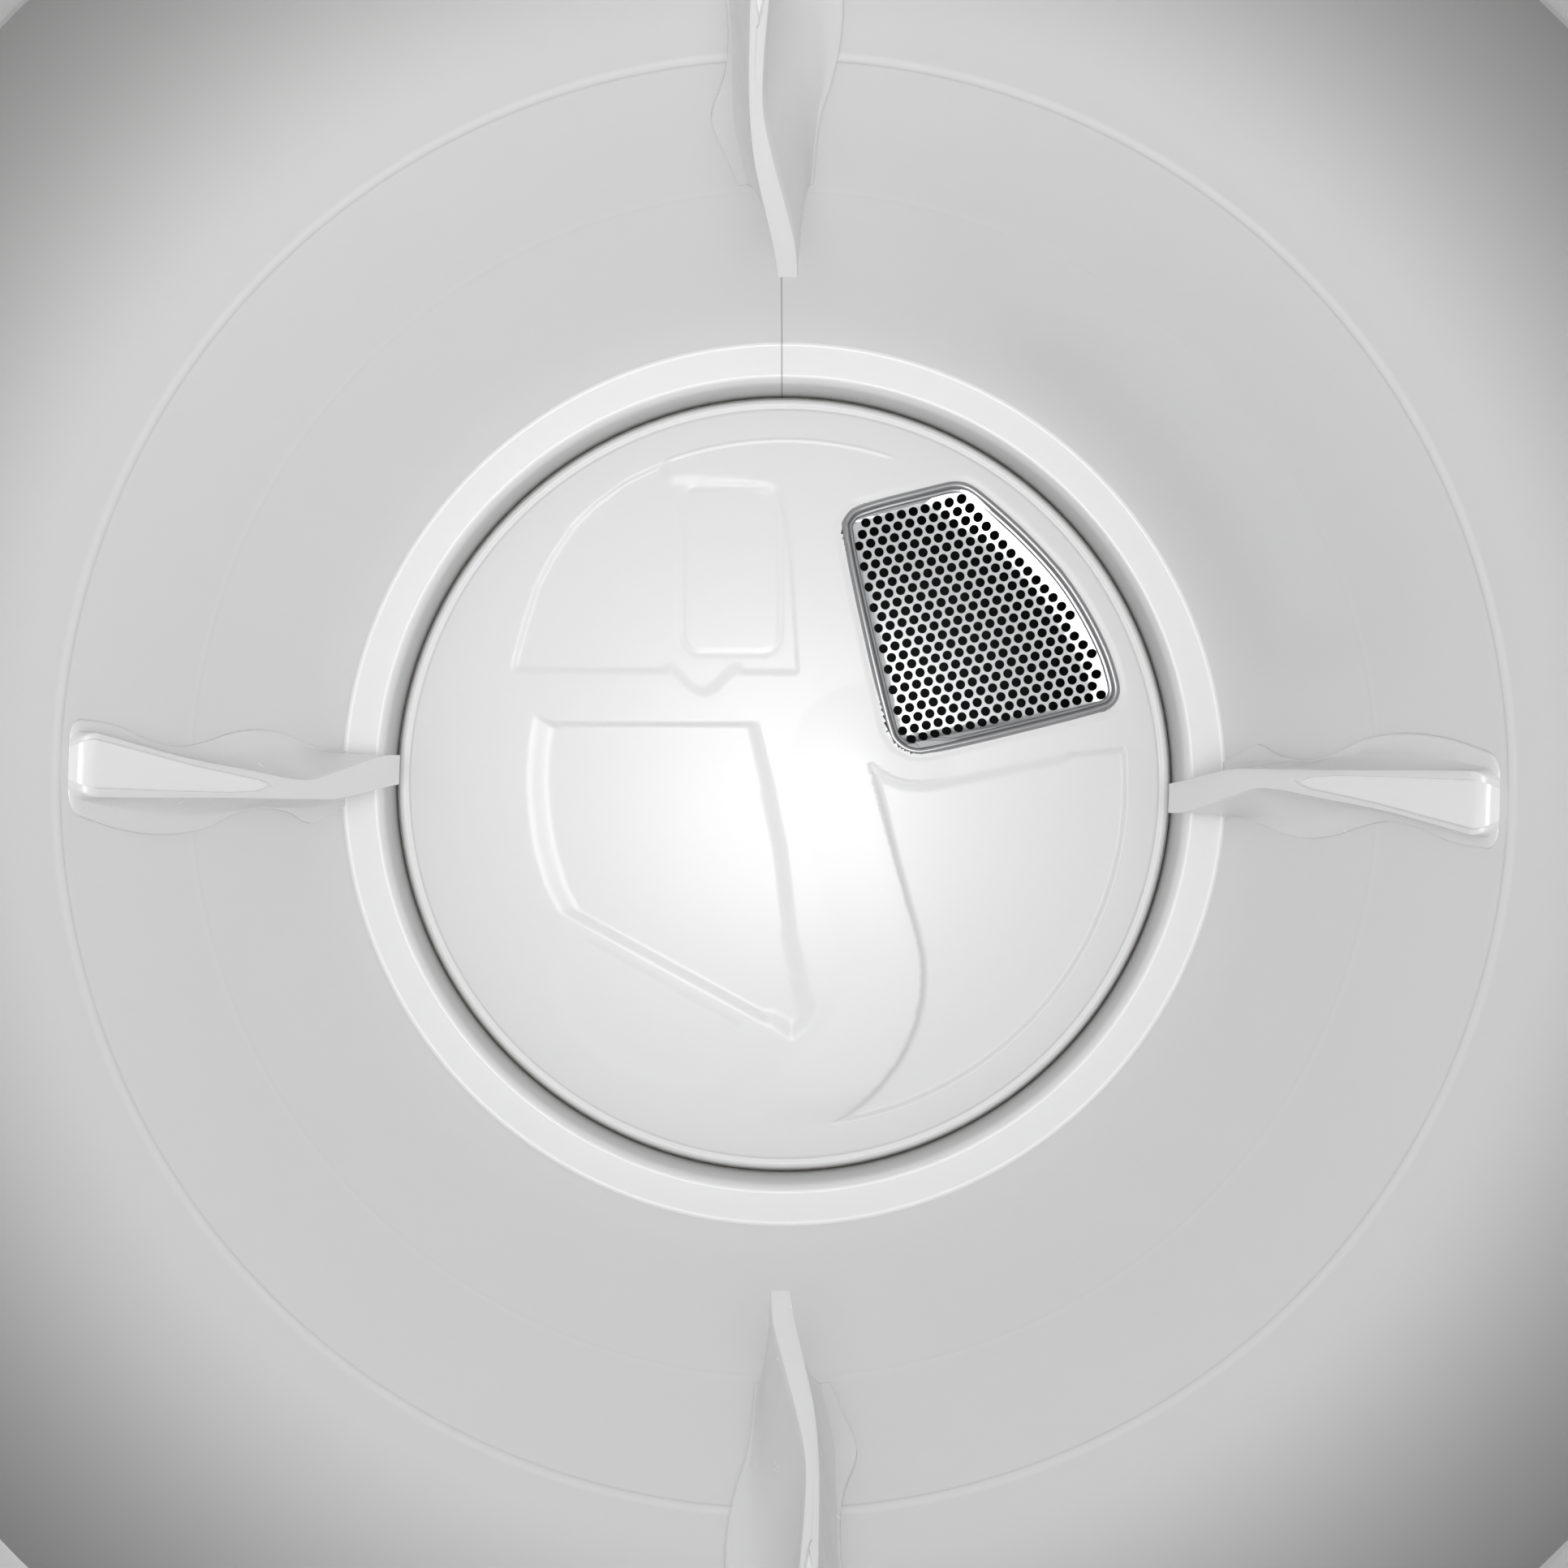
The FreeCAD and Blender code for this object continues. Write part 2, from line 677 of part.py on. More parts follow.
def heater_element():
    """A folded resistance bar between two upright insulating strips."""
    bar = size.heater_bar
    left, right = size.duct_left + 32, size.duct_right - 32
    pieces = []
    for row in range(heater_rows):
        pieces.append(rod("x", (heater_plane, heater_base + row * heater_step), bar,
                          (left, right)))
    for end in (left, right):
        pieces.append(box((end - 3, end + 3), (heater_plane - 14, heater_plane + 14),
                          (heater_base - 14, heater_base + heater_rows * heater_step)))
    back = half_depth - steel - 6 - size.duct_steel
    for end in (left, right):
        pieces.append(box((end - 3, end + 3), (heater_plane, back),
                          (heater_base, heater_base + 20)))
    node(joined(*pieces), "heater_element")


def lint_duct():
    """The narrow upright box that the filter drops into, with a port to the blower."""
    wall = size.moulding
    outer = box((-duct_inner_half - wall, duct_inner_half + wall),
                (duct_inner_front - wall, duct_inner_back + wall),
                (size.motor_rise - size.motor_radius, axis_rise - size.throat_flare - 2))
    inner = box((-duct_inner_half, duct_inner_half), (duct_inner_front, duct_inner_back),
                (size.motor_rise - size.motor_radius + wall,
                 axis_rise - size.throat_flare + 10))
    centre = (size.motor_x, size.motor_rise)
    port_span = (duct_inner_back + wall, blower_front)
    port = joined(outer, rod("y", centre, port_radius + wall, port_span))
    port_bore = rod("y", centre, port_radius, (duct_inner_back - 1, blower_front + 1))
    node(without(port, inner, port_bore), "lint_duct")


port_radius = size.fan_radius * 0.6
blower_front = fan_middle - size.fan_width / 2 - 6
blower_back = fan_middle + size.fan_width / 2 + 6
blower_radius = size.fan_radius + 8


def blower_housing():
    """A round fan case with a side outlet that turns back to the vent pipe."""
    wall = size.moulding
    centre = (size.motor_x, size.motor_rise)
    outlet_right = size.vent_x + vent_outer + 6
    outlet_top = size.vent_rise + vent_outer + 4
    outlet_low = size.vent_rise - vent_outer - 4
    case = rod("y", centre, blower_radius + wall, (blower_front, blower_back))
    outlet = box((size.motor_x, outlet_right), (blower_front, blower_back),
                 (outlet_low, outlet_top))
    bores = [
        rod("y", centre, blower_radius, (blower_front + wall, blower_back - wall)),
        box((size.motor_x, outlet_right - wall), (blower_front + wall, blower_back - wall),
            (outlet_low + wall, outlet_top - wall)),
        rod("y", centre, port_radius, (blower_front - 1, blower_front + 2 * wall)),
        rod("y", centre, size.shaft_radius + 3, (blower_back - 2 * wall, blower_back + 1)),
        rod("y", (size.vent_x, size.vent_rise), vent_inner,
            (blower_back - 2 * wall, blower_back + 1))]
    foot = box((size.motor_x - 20, size.motor_x + 20), (blower_front, blower_back),
               (size.foot_gap + steel, size.motor_rise - blower_radius - wall / 2))
    node(without(joined(case, outlet, foot), *bores), "blower_housing")


def vent_pipe():
    """The exhaust pipe, with a drawn-in spigot outside the rear panel."""
    end = half_depth + size.vent_stub
    step_end = half_depth + 2 * size.vent_wall
    spigot = size.vent_bore + size.vent_wall
    turned("vent_pipe", [
        (vent_inner, blower_back), (vent_outer, blower_back), (vent_outer, half_depth),
        (spigot, step_end), (spigot, end), (size.vent_bore, end),
        (size.vent_bore, step_end), (vent_inner, half_depth)],
        x=size.vent_x, z=size.vent_rise)


# ---- Motor and belt ----------------------------------------------------------------------

def motor():
    """The motor's case, its cradle, and the shaft that carries the pulley and the fan."""
    radius, bore = size.motor_radius, size.shaft_radius + size.bearing_gap
    front, back = -size.motor_front, -size.motor_back
    boss, core, bell = radius * 0.35, radius * 0.76, 6
    turned("motor_housing", [
        (bore, front - 8), (boss, front - 8), (boss, front), (radius, front + bell),
        (radius, back - bell), (boss, back), (boss, back + 6), (bore, back + 6),
        (bore, back - bell), (core, back - 3 * bell), (core, front + 3 * bell),
        (bore, front + bell)], x=size.motor_x, z=size.motor_rise)
    saddles = []
    for plane in (front + 24, back - 32):
        saddles.append(box((size.motor_x - radius * 0.8, size.motor_x + radius * 0.8),
                           (plane, plane + 8), (size.foot_gap + steel, size.motor_rise)))
    floor = box((size.motor_x - radius * 0.8, size.motor_x + radius * 0.8),
                (front + 24, back - 24), (size.foot_gap + steel, size.foot_gap + 3 * steel))
    seat = rod("y", (size.motor_x, size.motor_rise), radius, (front, back))
    node(without(joined(floor, *saddles), seat), "motor_cradle")
    shaft, pulley = size.shaft_radius, size.pulley_radius
    half = size.belt_width / 2 + 1
    plane = size.belt_plane
    turned("motor_shaft", [
        (0, blower_front + 14), (shaft, blower_front + 14), (shaft, plane - half - 2),
        (pulley + 3, plane - half - 2), (pulley + 3, plane - half), (pulley, plane - half),
        (pulley, plane + half), (pulley + 3, plane + half), (pulley + 3, plane + half + 2),
        (0, plane + half + 2)], x=size.motor_x, z=size.motor_rise)


def blower_wheel():
    """A drum fan: a back disc, a hub on the shaft, and a ring of straight blades."""
    front = fan_middle - size.fan_width / 2
    back = fan_middle + size.fan_width / 2
    outer, hub = size.fan_radius, size.shaft_radius + 8
    disc = new_turn_at("fan_disc", [
        (size.shaft_radius, back - 24), (hub, back - 24), (hub, back - 3), (outer, back - 3),
        (outer, back), (size.shaft_radius, back)], size.motor_x, size.motor_rise)
    hoop = new_turn_at("fan_hoop", [
        (outer - 16, front), (outer, front), (outer, front + 3), (outer - 16, front + 3)],
        size.motor_x, size.motor_rise)
    blades, blade_count = [], 24
    for turn in range(blade_count):
        angle = 2 * math.pi * turn / blade_count
        blade = doc.addObject("Part::Box", "Blade")
        bind(blade, "Length", size.fan_radius * 0.16)
        bind(blade, "Width", back - front - 4)
        bind(blade, "Height", 2)
        reach = outer * 0.82
        blade.Placement = Placement(Vector(), Rotation(Vector(0, -1, 0), math.degrees(angle)))
        put(blade, size.motor_x + reach * math.cos(angle), front + 2,
            size.motor_rise + reach * math.sin(angle))
        blades.append(blade)
    node(joined(disc, hoop, *blades), "blower_wheel")


def new_turn_at(name, profile, x, z):
    body = new_body_turn(name, profile)
    return put(body, x, 0, z)


def belt_wheels():
    """The belt's circuit as (centre, wheel radius, sense), anticlockwise seen from the front."""
    return [
        (Vector(0, 0, float(axis_rise)), float(drum_outer), 1),
        (Vector(float(size.motor_x), 0, float(size.motor_rise)), float(size.pulley_radius), 1),
        (Vector(float(size.idler_x), 0, float(size.idler_rise)), float(size.idler_radius), -1)]


def belt_line(offset):
    """The belt's closed line at one distance inside or outside its middle line."""
    middle = float(size.running_gap) + float(size.belt_thick) / 2
    wheels = [(centre, radius + middle + sense * offset, sense)
              for centre, radius, sense in belt_wheels()]
    spans = []
    for (c1, r1, s1), (c2, r2, s2) in zip(wheels, wheels[1:] + wheels[:1]):
        step = c2 - c1
        heading = math.atan2(step.z, step.x) + math.asin((s1 * r1 - s2 * r2) / step.Length)
        right = Vector(math.sin(heading), 0, -math.cos(heading))
        spans.append((c1 + right * (s1 * r1), c2 + right * (s2 * r2)))
    edges = []
    for index, (centre, radius, sense) in enumerate(wheels):
        arrive, leave = spans[index - 1][1], spans[index][0]
        start = math.atan2(arrive.z - centre.z, arrive.x - centre.x)
        sweep = (math.atan2(leave.z - centre.z, leave.x - centre.x) - start) * sense
        sweep = (sweep % (2 * math.pi)) * sense
        half = start + sweep / 2
        top = centre + Vector(math.cos(half), 0, math.sin(half)) * radius
        edges.append(Part.Arc(arrive, top, leave).toShape())
        edges.append(Part.LineSegment(leave, spans[index][1]).toShape())
    return Part.Wire(edges)


def drum_belt():
    half = float(size.belt_thick) / 2
    front = float(size.belt_plane - size.belt_width / 2)
    loop = Part.Face([belt_line(half), belt_line(-half)])
    loop.validate()
    shape = loop.extrude(Vector(0, float(size.belt_width), 0))
    belt = solid_feature("drum_belt", shape)
    belt.Placement = Placement(Vector(0, front, 0), Rotation())


def idler():
    """The belt tensioner: bracket with its pin, sprung arm, idler pulley and coil spring."""
    plane, half = size.belt_plane, size.belt_width / 2
    arm_front, arm_back = plane + half + 5, plane + half + 9
    pin = size.arm_pin
    place, wheel = (size.arm_x, size.arm_rise), (size.idler_x, size.idler_rise)
    upright = box((size.arm_x - 14, size.arm_x + 14), (arm_back + 3, arm_back + 7),
                  (size.foot_gap + steel, size.arm_rise + 14))
    foot = box((size.arm_x - 14, size.arm_x + 14), (arm_back + 3, arm_back + 40),
               (size.foot_gap + steel, size.foot_gap + steel + 3))
    node(joined(upright, foot, rod("y", place, pin, (plane - 12, arm_back + 5))),
         "idler_bracket")
    step_x, step_z = size.idler_x - size.arm_x, size.idler_rise - size.arm_rise
    length = math.hypot(float(step_x), float(step_z))
    lean = math.degrees(math.atan2(float(step_x), float(step_z)))
    bar = doc.addObject("Part::Box", "Arm_bar")
    bind(bar, "Length", 16)
    bind(bar, "Width", arm_back - arm_front)
    bar.Height = length
    bar.Placement = Placement(Vector(), Rotation(Vector(0, 1, 0), lean))
    shift = 8 * math.cos(math.radians(lean)), 8 * math.sin(math.radians(lean))
    put(bar, size.arm_x - shift[0], arm_front, size.arm_rise + shift[1])
    arm = joined(bar, rod("y", place, 12, (arm_front, arm_back)),
                 rod("y", wheel, 10, (arm_front, arm_back)),
                 rod("y", wheel, 4, (plane - half - 4, arm_back)),
                 rod("y", wheel, 6.5, (plane - half - 6, plane - half - 4)))
    node(without(arm, rod("y", place, pin + size.bearing_gap, (arm_front - 1, arm_back + 1))),
         "idler_arm")
    bore = 4 + size.bearing_gap
    radius = size.idler_radius
    turned("idler_pulley", [
        (bore, -half - 2), (radius + 2, -half - 2), (radius + 2, -half - 1), (radius, -half - 1),
        (radius, half + 1), (radius + 2, half + 1), (radius + 2, half + 2), (bore, half + 2)],
        x=size.idler_x, z=size.idler_rise, y=plane)
    wire, coil, turns = 1.1, 9.0, 4
    helix = Part.makeHelix(3.0, 3.0 * turns, coil)
    profile = Part.Wire(Part.makeCircle(wire, Vector(coil, 0, 0), Vector(0, 1, 0)))
    spring = solid_feature("idler_spring", Part.Wire(helix).makePipeShell([profile], True, True))
    spring.Placement = Placement(
        Vector(float(size.arm_x), float(plane - 11), float(size.arm_rise)), AXIS_TURNS["y"])


# ---- Door --------------------------------------------------------------------------------

door_back = front_face - size.door_gap
door_front = door_back - size.door_depth


def hang(thing):
    """Swing a sub-part drawn with the door shut to where the open door stands."""
    pivot = Vector(*(float(place) for place in hinge_pivot), 0)
    swing = Placement(Vector(), Rotation(Vector(0, 0, 1), float(size.door_turn)), pivot)
    thing.Placement = swing.multiply(thing.Placement)


def swung(label, profile):
    """A ring of the round door, turned about the door's middle and swung open."""
    body = turned(label, profile, z=axis_rise)
    for axis in "xyz":
        body.setExpression(f"Placement.Base.{axis}", None)
    body.Placement = Placement(Vector(0, 0, float(axis_rise)), Rotation())
    hang(body)


def door():
    rim, wall, back, front = size.door_radius, size.door_wall, door_back, door_front
    window = size.window_radius
    mouth = size.throat_radius
    swung("door_frame", [
        (rim, back), (rim, front + 12), (rim - 12, front), (window, front),
        (window, front + wall), (rim - 13, front + wall), (rim - wall, front + 13),
        (rim - wall, back)])
    liner_out = rim - wall - gap
    swung("door_liner", [
        (liner_out, back - wall), (liner_out, back), (mouth - 5, back), (mouth - 19, back + 18),
        (mouth - 22, back + 18), (mouth - 22, back + 10), (mouth - 16, back - wall)])
    glass = mouth - 22 - gap
    depth = back + 11
    swung("door_glass", [
        (0, depth + 36), (glass * 0.7, depth + 33), (glass * 0.86, depth + 22),
        (glass * 0.93, depth + 4), (glass, depth + 4), (glass, depth), (glass * 0.91, depth),
        (glass * 0.84, depth + 19), (glass * 0.69, depth + 29), (0, depth + 32)])
    swung("door_window", [
        (0, front + 0.5), (window - gap, front + 0.5), (window - gap, front + 2 + wall),
        (0, front + 2 + wall)])
    swung("door_seal", [
        (mouth + 17, back), (mouth + 27, back), (mouth + 25, back + size.door_gap - 0.6),
        (mouth + 19, back + size.door_gap - 0.6)])
    handle_x = rim - 33
    low, high = axis_rise - size.handle_length / 2, axis_rise + size.handle_length / 2
    grip = without(
        box((handle_x - 9, handle_x + 9), (front - 26, front), (low, high)),
        box((handle_x - 10, handle_x + 10), (front - 16, front + 1), (low + 14, high - 14)))
    grip = node(rounded(grip, 3, along("z")), "door_handle")
    strike = node(joined(
        box((catch_x - 3, catch_x + 1), (back, back + 19), (axis_rise - 10, axis_rise + 10)),
        box((catch_x - 3, catch_x + 4), (back + 14, back + 19),
            (axis_rise - 10, axis_rise + 10))), "door_strike")
    half = size.hinge_length / 4
    leaf = without(
        joined(rod("z", hinge_pivot, size.knuckle_radius, (axis_rise - half, axis_rise + half)),
               box((-size.hinge_x, -rim + 12), (hinge_pivot[1] - 4, hinge_pivot[1] + 4),
                   (axis_rise - half, axis_rise + half))),
        rod("z", hinge_pivot, size.hinge_pin + size.bearing_gap,
            (axis_rise - half - 1, axis_rise + half + 1)),
        rod("y", (0, axis_rise), rim, (front, back)))
    leaf = node(leaf, "door_hinge")
    for thing in (grip, strike, leaf):
        hang(thing)


def hinge_bracket():
    """The fixed half of the hinge: plate, two knuckles and the pin through them."""
    half, end = size.hinge_length / 4 + 0.5, size.hinge_length / 2
    pieces = [
        box((-size.hinge_x - 24, -size.hinge_x - 2), (front_face - 3, front_face),
            (axis_rise - end, axis_rise + end)),
        rod("z", hinge_pivot, size.hinge_pin, (axis_rise - end, axis_rise + end))]
    for low, high in ((-end, -half), (half, end)):
        pieces.append(rod("z", hinge_pivot, size.knuckle_radius, (axis_rise + low, axis_rise + high)))
        pieces.append(box((-size.hinge_x - 6, -size.hinge_x), (hinge_pivot[1], front_face),
                          (axis_rise + low, axis_rise + high)))
    node(joined(*pieces), "hinge_bracket")


def door_catch():
    """The spring catch's box behind the slot in the front panel."""
    deep = 32
    outer = box((catch_x - catch_half_width - 4, catch_x + catch_half_width + 4),
                (front_face + steel, front_face + steel + deep),
                (axis_rise - catch_half_rise - 4, axis_rise + catch_half_rise + 4))
    inner = box((catch_x - catch_half_width, catch_x + catch_half_width),
                (front_face, front_face + steel + deep - 4),
                (axis_rise - catch_half_rise, axis_rise + catch_half_rise))
    node(without(outer, inner), "door_catch")


def door_switch():
    """The switch body behind the front panel and the pin that the door pushes."""
    place = (plunger_x, plunger_rise)
    radius = size.plunger_radius
    start = front_face + steel
    case = without(
        box((plunger_x - 12, plunger_x + 12), (start, start + 30),
            (plunger_rise - 9, plunger_rise + 9)),
        rod("y", place, radius + gap, (start - 1, start + 26)))
    node(case, "door_switch")
    turned("door_switch_pin", [(0, front_face - 2.4), (radius, front_face - 2.4),
                               (radius, start + 20), (0, start + 20)],
           x=plunger_x, z=plunger_rise)


# ---- Controls ----------------------------------------------------------------------------

console_front = front_face - size.console_proud
console_back = front_face + size.console_reach
console_middle = (console_base + lid_base) / 2
power_x = -half_width * 0.8
start_x = half_width * 0.8
window_span = (half_width * 0.2, half_width * 0.58)
window_half_rise = 21


def control_panel():
    """The moulded console: a shell open at the back, with holes for what works through it."""
    wall = size.console_wall
    outer = rounded(box((-half_width, half_width), (console_front, console_back),
                        (console_base, lid_base - gap)), 2.5,
                    lambda edge: edge.BoundBox.YMax < float(console_front) + 0.01)
    tools = [box((-half_width + wall, half_width - wall), (console_front + wall, console_back + 1),
                 (console_base + wall, lid_base - gap - wall))]
    for x in (power_x, start_x):
        half = size.button_width / 2 + size.button_gap
        rise = size.button_rise / 2 + size.button_gap
        tools.append(box((x - half, x + half), (console_front - 1, console_front + wall + 1),
                         (console_middle - rise, console_middle + rise)))
    tools.append(rod("y", (0, console_middle), 5, (console_front - 1, console_front + wall + 1)))
    low, high = console_middle - window_half_rise, console_middle + window_half_rise
    tools.append(box(window_span, (console_front - 1, console_front + wall + 1), (low, high)))
    node(without(outer, *tools), "control_panel")
    node(box((window_span[0], window_span[1]), (console_front + 0.4, console_front + wall),
             (low, high)), "display_window")
    board_front = console_front + wall + 16
    board = box((-half_width * 0.9, half_width * 0.9), (board_front, board_front + 2),
                (console_base + wall + 6, lid_base - gap - wall - 6))
    chips = [box((half_width * place, half_width * place + 24),
                 (board_front + 2, board_front + 8), (console_middle - 14, console_middle + 14))
             for place in (-0.6, -0.3, 0.3, 0.62)]
    posts = [rod("y", (half_width * place, console_middle + side * 40), 3,
                 (console_front + wall, board_front))
             for place in (-0.5, 0.5) for side in (-1, 1)]
    node(joined(board, *chips, *posts), "control_board")


def button(label, x):
    """A push button with a wider back that keeps it in the console."""
    half, rise = size.button_width / 2, size.button_rise / 2
    inside = console_front + size.console_wall + gap
    cap = rounded(box((x - half, x + half), (console_front - size.button_proud, inside),
                      (console_middle - rise, console_middle + rise)), 2, along("y"))
    flange = box((x - half - 2, x + half + 2), (inside, inside + 3),
                 (console_middle - rise - 2, console_middle + rise + 2))
    node(joined(cap, flange), label)


def knob():
    """The cycle knob with its skirt and the spindle through the console."""
    radius, reach = size.knob_radius, size.knob_reach
    front = console_front - reach
    inside = console_front + size.console_wall + 4
    turned("cycle_knob", [
        (0, front), (radius - 6, front), (radius - 3, front + 3), (radius - 1, front + 19),
        (radius, front + 20), (radius, console_front - 0.5), (4, console_front - 0.5),
        (4, inside), (7, inside), (7, inside + 3), (0, inside + 3)], z=console_middle)


# ---- Filter, feet, inlet and screws ------------------------------------------------------

def lint_filter():
    """The slide-out lint filter: a grip, a frame and a fine screen across it."""
    top = axis_rise - size.throat_flare + 16
    low = top - size.filter_rise
    half = size.filter_half
    border = 10
    frame = without(
        box((-half, half), (filter_front, filter_back), (low, top)),
        box((-half + border, half - border), (filter_front - 1, filter_back + 1),
            (low + border, top - 2 * border)))
    screen = box((-half + border, half - border), (filter_middle - 0.6, filter_middle + 0.6),
                 (low + border, top - 2 * border))
    node(joined(frame, screen), "lint_filter")


def levelling_feet():
    names = ("front_left", "rear_left", "front_right", "rear_right")
    for name, (x, y) in zip(names, foot_places):
        pad_rise = 10
        foot = joined(rod("z", (x, y), size.foot_radius, (0, pad_rise)),
                      rod("z", (x, y), size.foot_stem, (pad_rise, size.foot_gap + 45)))
        node(foot, f"foot_{name}")


def power_inlet():
    """The covered terminal box on the back where the supply cord would enter."""
    x, z = half_width * 0.55, size.foot_gap + 60
    outer = rounded(box((x - 32, x + 32), (half_depth, half_depth + 20), (z - 26, z + 34)), 4,
                    along("y"))
    inner = box((x - 29, x + 29), (half_depth - 1, half_depth + 17), (z - 23, z + 31))
    gland = rod("z", (x, half_depth + 9), 7, (z - 30, z - 20))
    node(without(outer, inner, gland), "power_inlet")


def cabinet_screws():
    """Washer-head screws that hold the rear panel and the lid."""
    pieces = []
    rows = 5
    for side in (-1, 1):
        for row in range(rows):
            z = size.foot_gap + 60 + row * (lid_base - 120 - size.foot_gap) / (rows - 1)
            pieces.append(rod("y", (side * (half_width - 8), z), 5,
                              (half_depth, half_depth + 3)))
    node(group(*pieces), "cabinet_screws")


# ---- Build, check and export -------------------------------------------------------------

for build_cabinet in (rear_panel, top_panel, base_pan, front_panel):
    build_cabinet()
side_panel("side_panel_left", -1)
side_panel("side_panel_right", 1)
for build_air in (front_bulkhead, front_seal, rear_bulkhead, rear_seal, air_inlet_grille,
                  heater_duct, heater_element, lint_duct, blower_housing, vent_pipe):
    build_air()
drum_shell()
baffle("baffle_left", 180, drum_back, True)
baffle("baffle_right", 0, drum_back, True)
baffle("baffle_top", 90, size.front_baffle_back, False)
baffle("baffle_bottom", 270, size.front_baffle_back, False)
for build_drive in (drum_rollers, roller_shafts, motor, blower_wheel, drum_belt, idler):
    build_drive()
for build_front in (door, hinge_bracket, door_catch, door_switch, control_panel, knob,
                    lint_filter, levelling_feet, power_inlet, cabinet_screws):
    build_front()
button("power_button", power_x)
button("start_button", start_x)

doc.recompute()
failed = [thing.Label for thing in doc.Objects
          if "Invalid" in thing.State or "Error" in thing.State]
if failed:
    raise RuntimeError("objects that failed: " + ", ".join(failed))
os.makedirs("parts", exist_ok=True)
for thing in sub_parts:
    shape = thing.Shape
    if shape.isNull() or not shape.isValid() or not shape.Solids:
        raise RuntimeError(f"{thing.Label} is not a valid solid")
for thing in sub_parts:
    thing.Shape.exportStep(f"parts/{thing.Label}.step")
    print(f"{thing.Label}: {len(thing.Shape.Solids)} solid, {thing.Shape.Volume / 1000:.1f} cm3")
print(len(sub_parts), "sub-parts")
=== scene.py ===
"""Looks of the clothes dryer: drum interior, stamped rear bulkhead, grille, baffles, cabinet and
door finishes, around the fixed frame. Everything is in metres in the row's own frame."""
import math
import json

import bmesh
import bpy
import numpy as np
from mathutils import Matrix, Vector

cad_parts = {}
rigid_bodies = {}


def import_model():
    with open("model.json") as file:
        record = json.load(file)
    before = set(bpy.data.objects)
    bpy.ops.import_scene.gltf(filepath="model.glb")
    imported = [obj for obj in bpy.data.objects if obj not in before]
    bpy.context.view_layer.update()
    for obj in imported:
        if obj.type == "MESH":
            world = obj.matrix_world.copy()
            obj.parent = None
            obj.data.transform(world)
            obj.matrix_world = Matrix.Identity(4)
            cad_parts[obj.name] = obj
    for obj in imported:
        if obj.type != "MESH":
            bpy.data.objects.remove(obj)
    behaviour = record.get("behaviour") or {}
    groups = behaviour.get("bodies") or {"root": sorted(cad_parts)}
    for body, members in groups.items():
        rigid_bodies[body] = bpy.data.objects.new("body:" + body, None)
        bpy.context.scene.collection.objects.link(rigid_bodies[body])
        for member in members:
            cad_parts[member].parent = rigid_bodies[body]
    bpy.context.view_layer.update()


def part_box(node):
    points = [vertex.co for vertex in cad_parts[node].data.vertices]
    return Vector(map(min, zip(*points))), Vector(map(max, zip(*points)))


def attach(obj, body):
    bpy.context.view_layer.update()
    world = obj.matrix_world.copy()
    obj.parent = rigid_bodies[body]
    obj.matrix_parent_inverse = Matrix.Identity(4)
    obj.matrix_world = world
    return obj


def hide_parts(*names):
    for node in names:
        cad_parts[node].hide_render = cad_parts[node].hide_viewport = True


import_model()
MM = 0.001


# ---- Places taken from the frame -----------------------------------------------------------

drum_low, drum_high = (Vector(corner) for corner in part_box("drum_shell"))
AXIS = Vector(((drum_low.x + drum_high.x) / 2, 0.0, (drum_low.z + drum_high.z) / 2))
DRUM_WALL = 1.0 * MM
DRUM_BORE = (drum_high.x - drum_low.x) / 2 - DRUM_WALL
DRUM_FRONT = drum_low.y
NECK_BACK = drum_high.y
DRUM_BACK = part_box("baffle_left")[1][1]
BAFFLE_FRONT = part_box("baffle_left")[0][1]
FRONT_BAFFLE_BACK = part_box("baffle_top")[1][1]
NECK_BORE = 300 * MM
DISC_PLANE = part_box("rear_bulkhead")[0][1]
DISC_RADIUS = 298.2 * MM


# ---- Node writing --------------------------------------------------------------------------

class Value:
    """A shader socket that takes part in Python arithmetic."""

    def __init__(self, finish, socket):
        self.finish = finish
        self.socket = socket

    def maths(self, operation, *terms):
        return self.finish.node("ShaderNodeMath", {"operation": operation}, terms)

    def __add__(self, other):
        return self.maths("ADD", self, other)

    def __sub__(self, other):
        return self.maths("SUBTRACT", self, other)

    def __mul__(self, other):
        return self.maths("MULTIPLY", self, other)

    def __rsub__(self, other):
        return self.maths("SUBTRACT", other, self)

    def __abs__(self):
        return self.maths("ABSOLUTE", self)

    __radd__ = __add__
    __rmul__ = __mul__

    def above(self, edge, width):
        """0 below the edge, 1 above it, over a soft width."""
        return self.finish.node(
            "ShaderNodeMapRange", {"interpolation_type": "SMOOTHSTEP"},
            {"Value": self, "From Min": edge - width / 2, "From Max": edge + width / 2})

    def near(self, centre, width):
        """1 on a line at the centre, 0 outside its width."""
        return 1 - abs(self - centre).above(width / 2, width / 2)


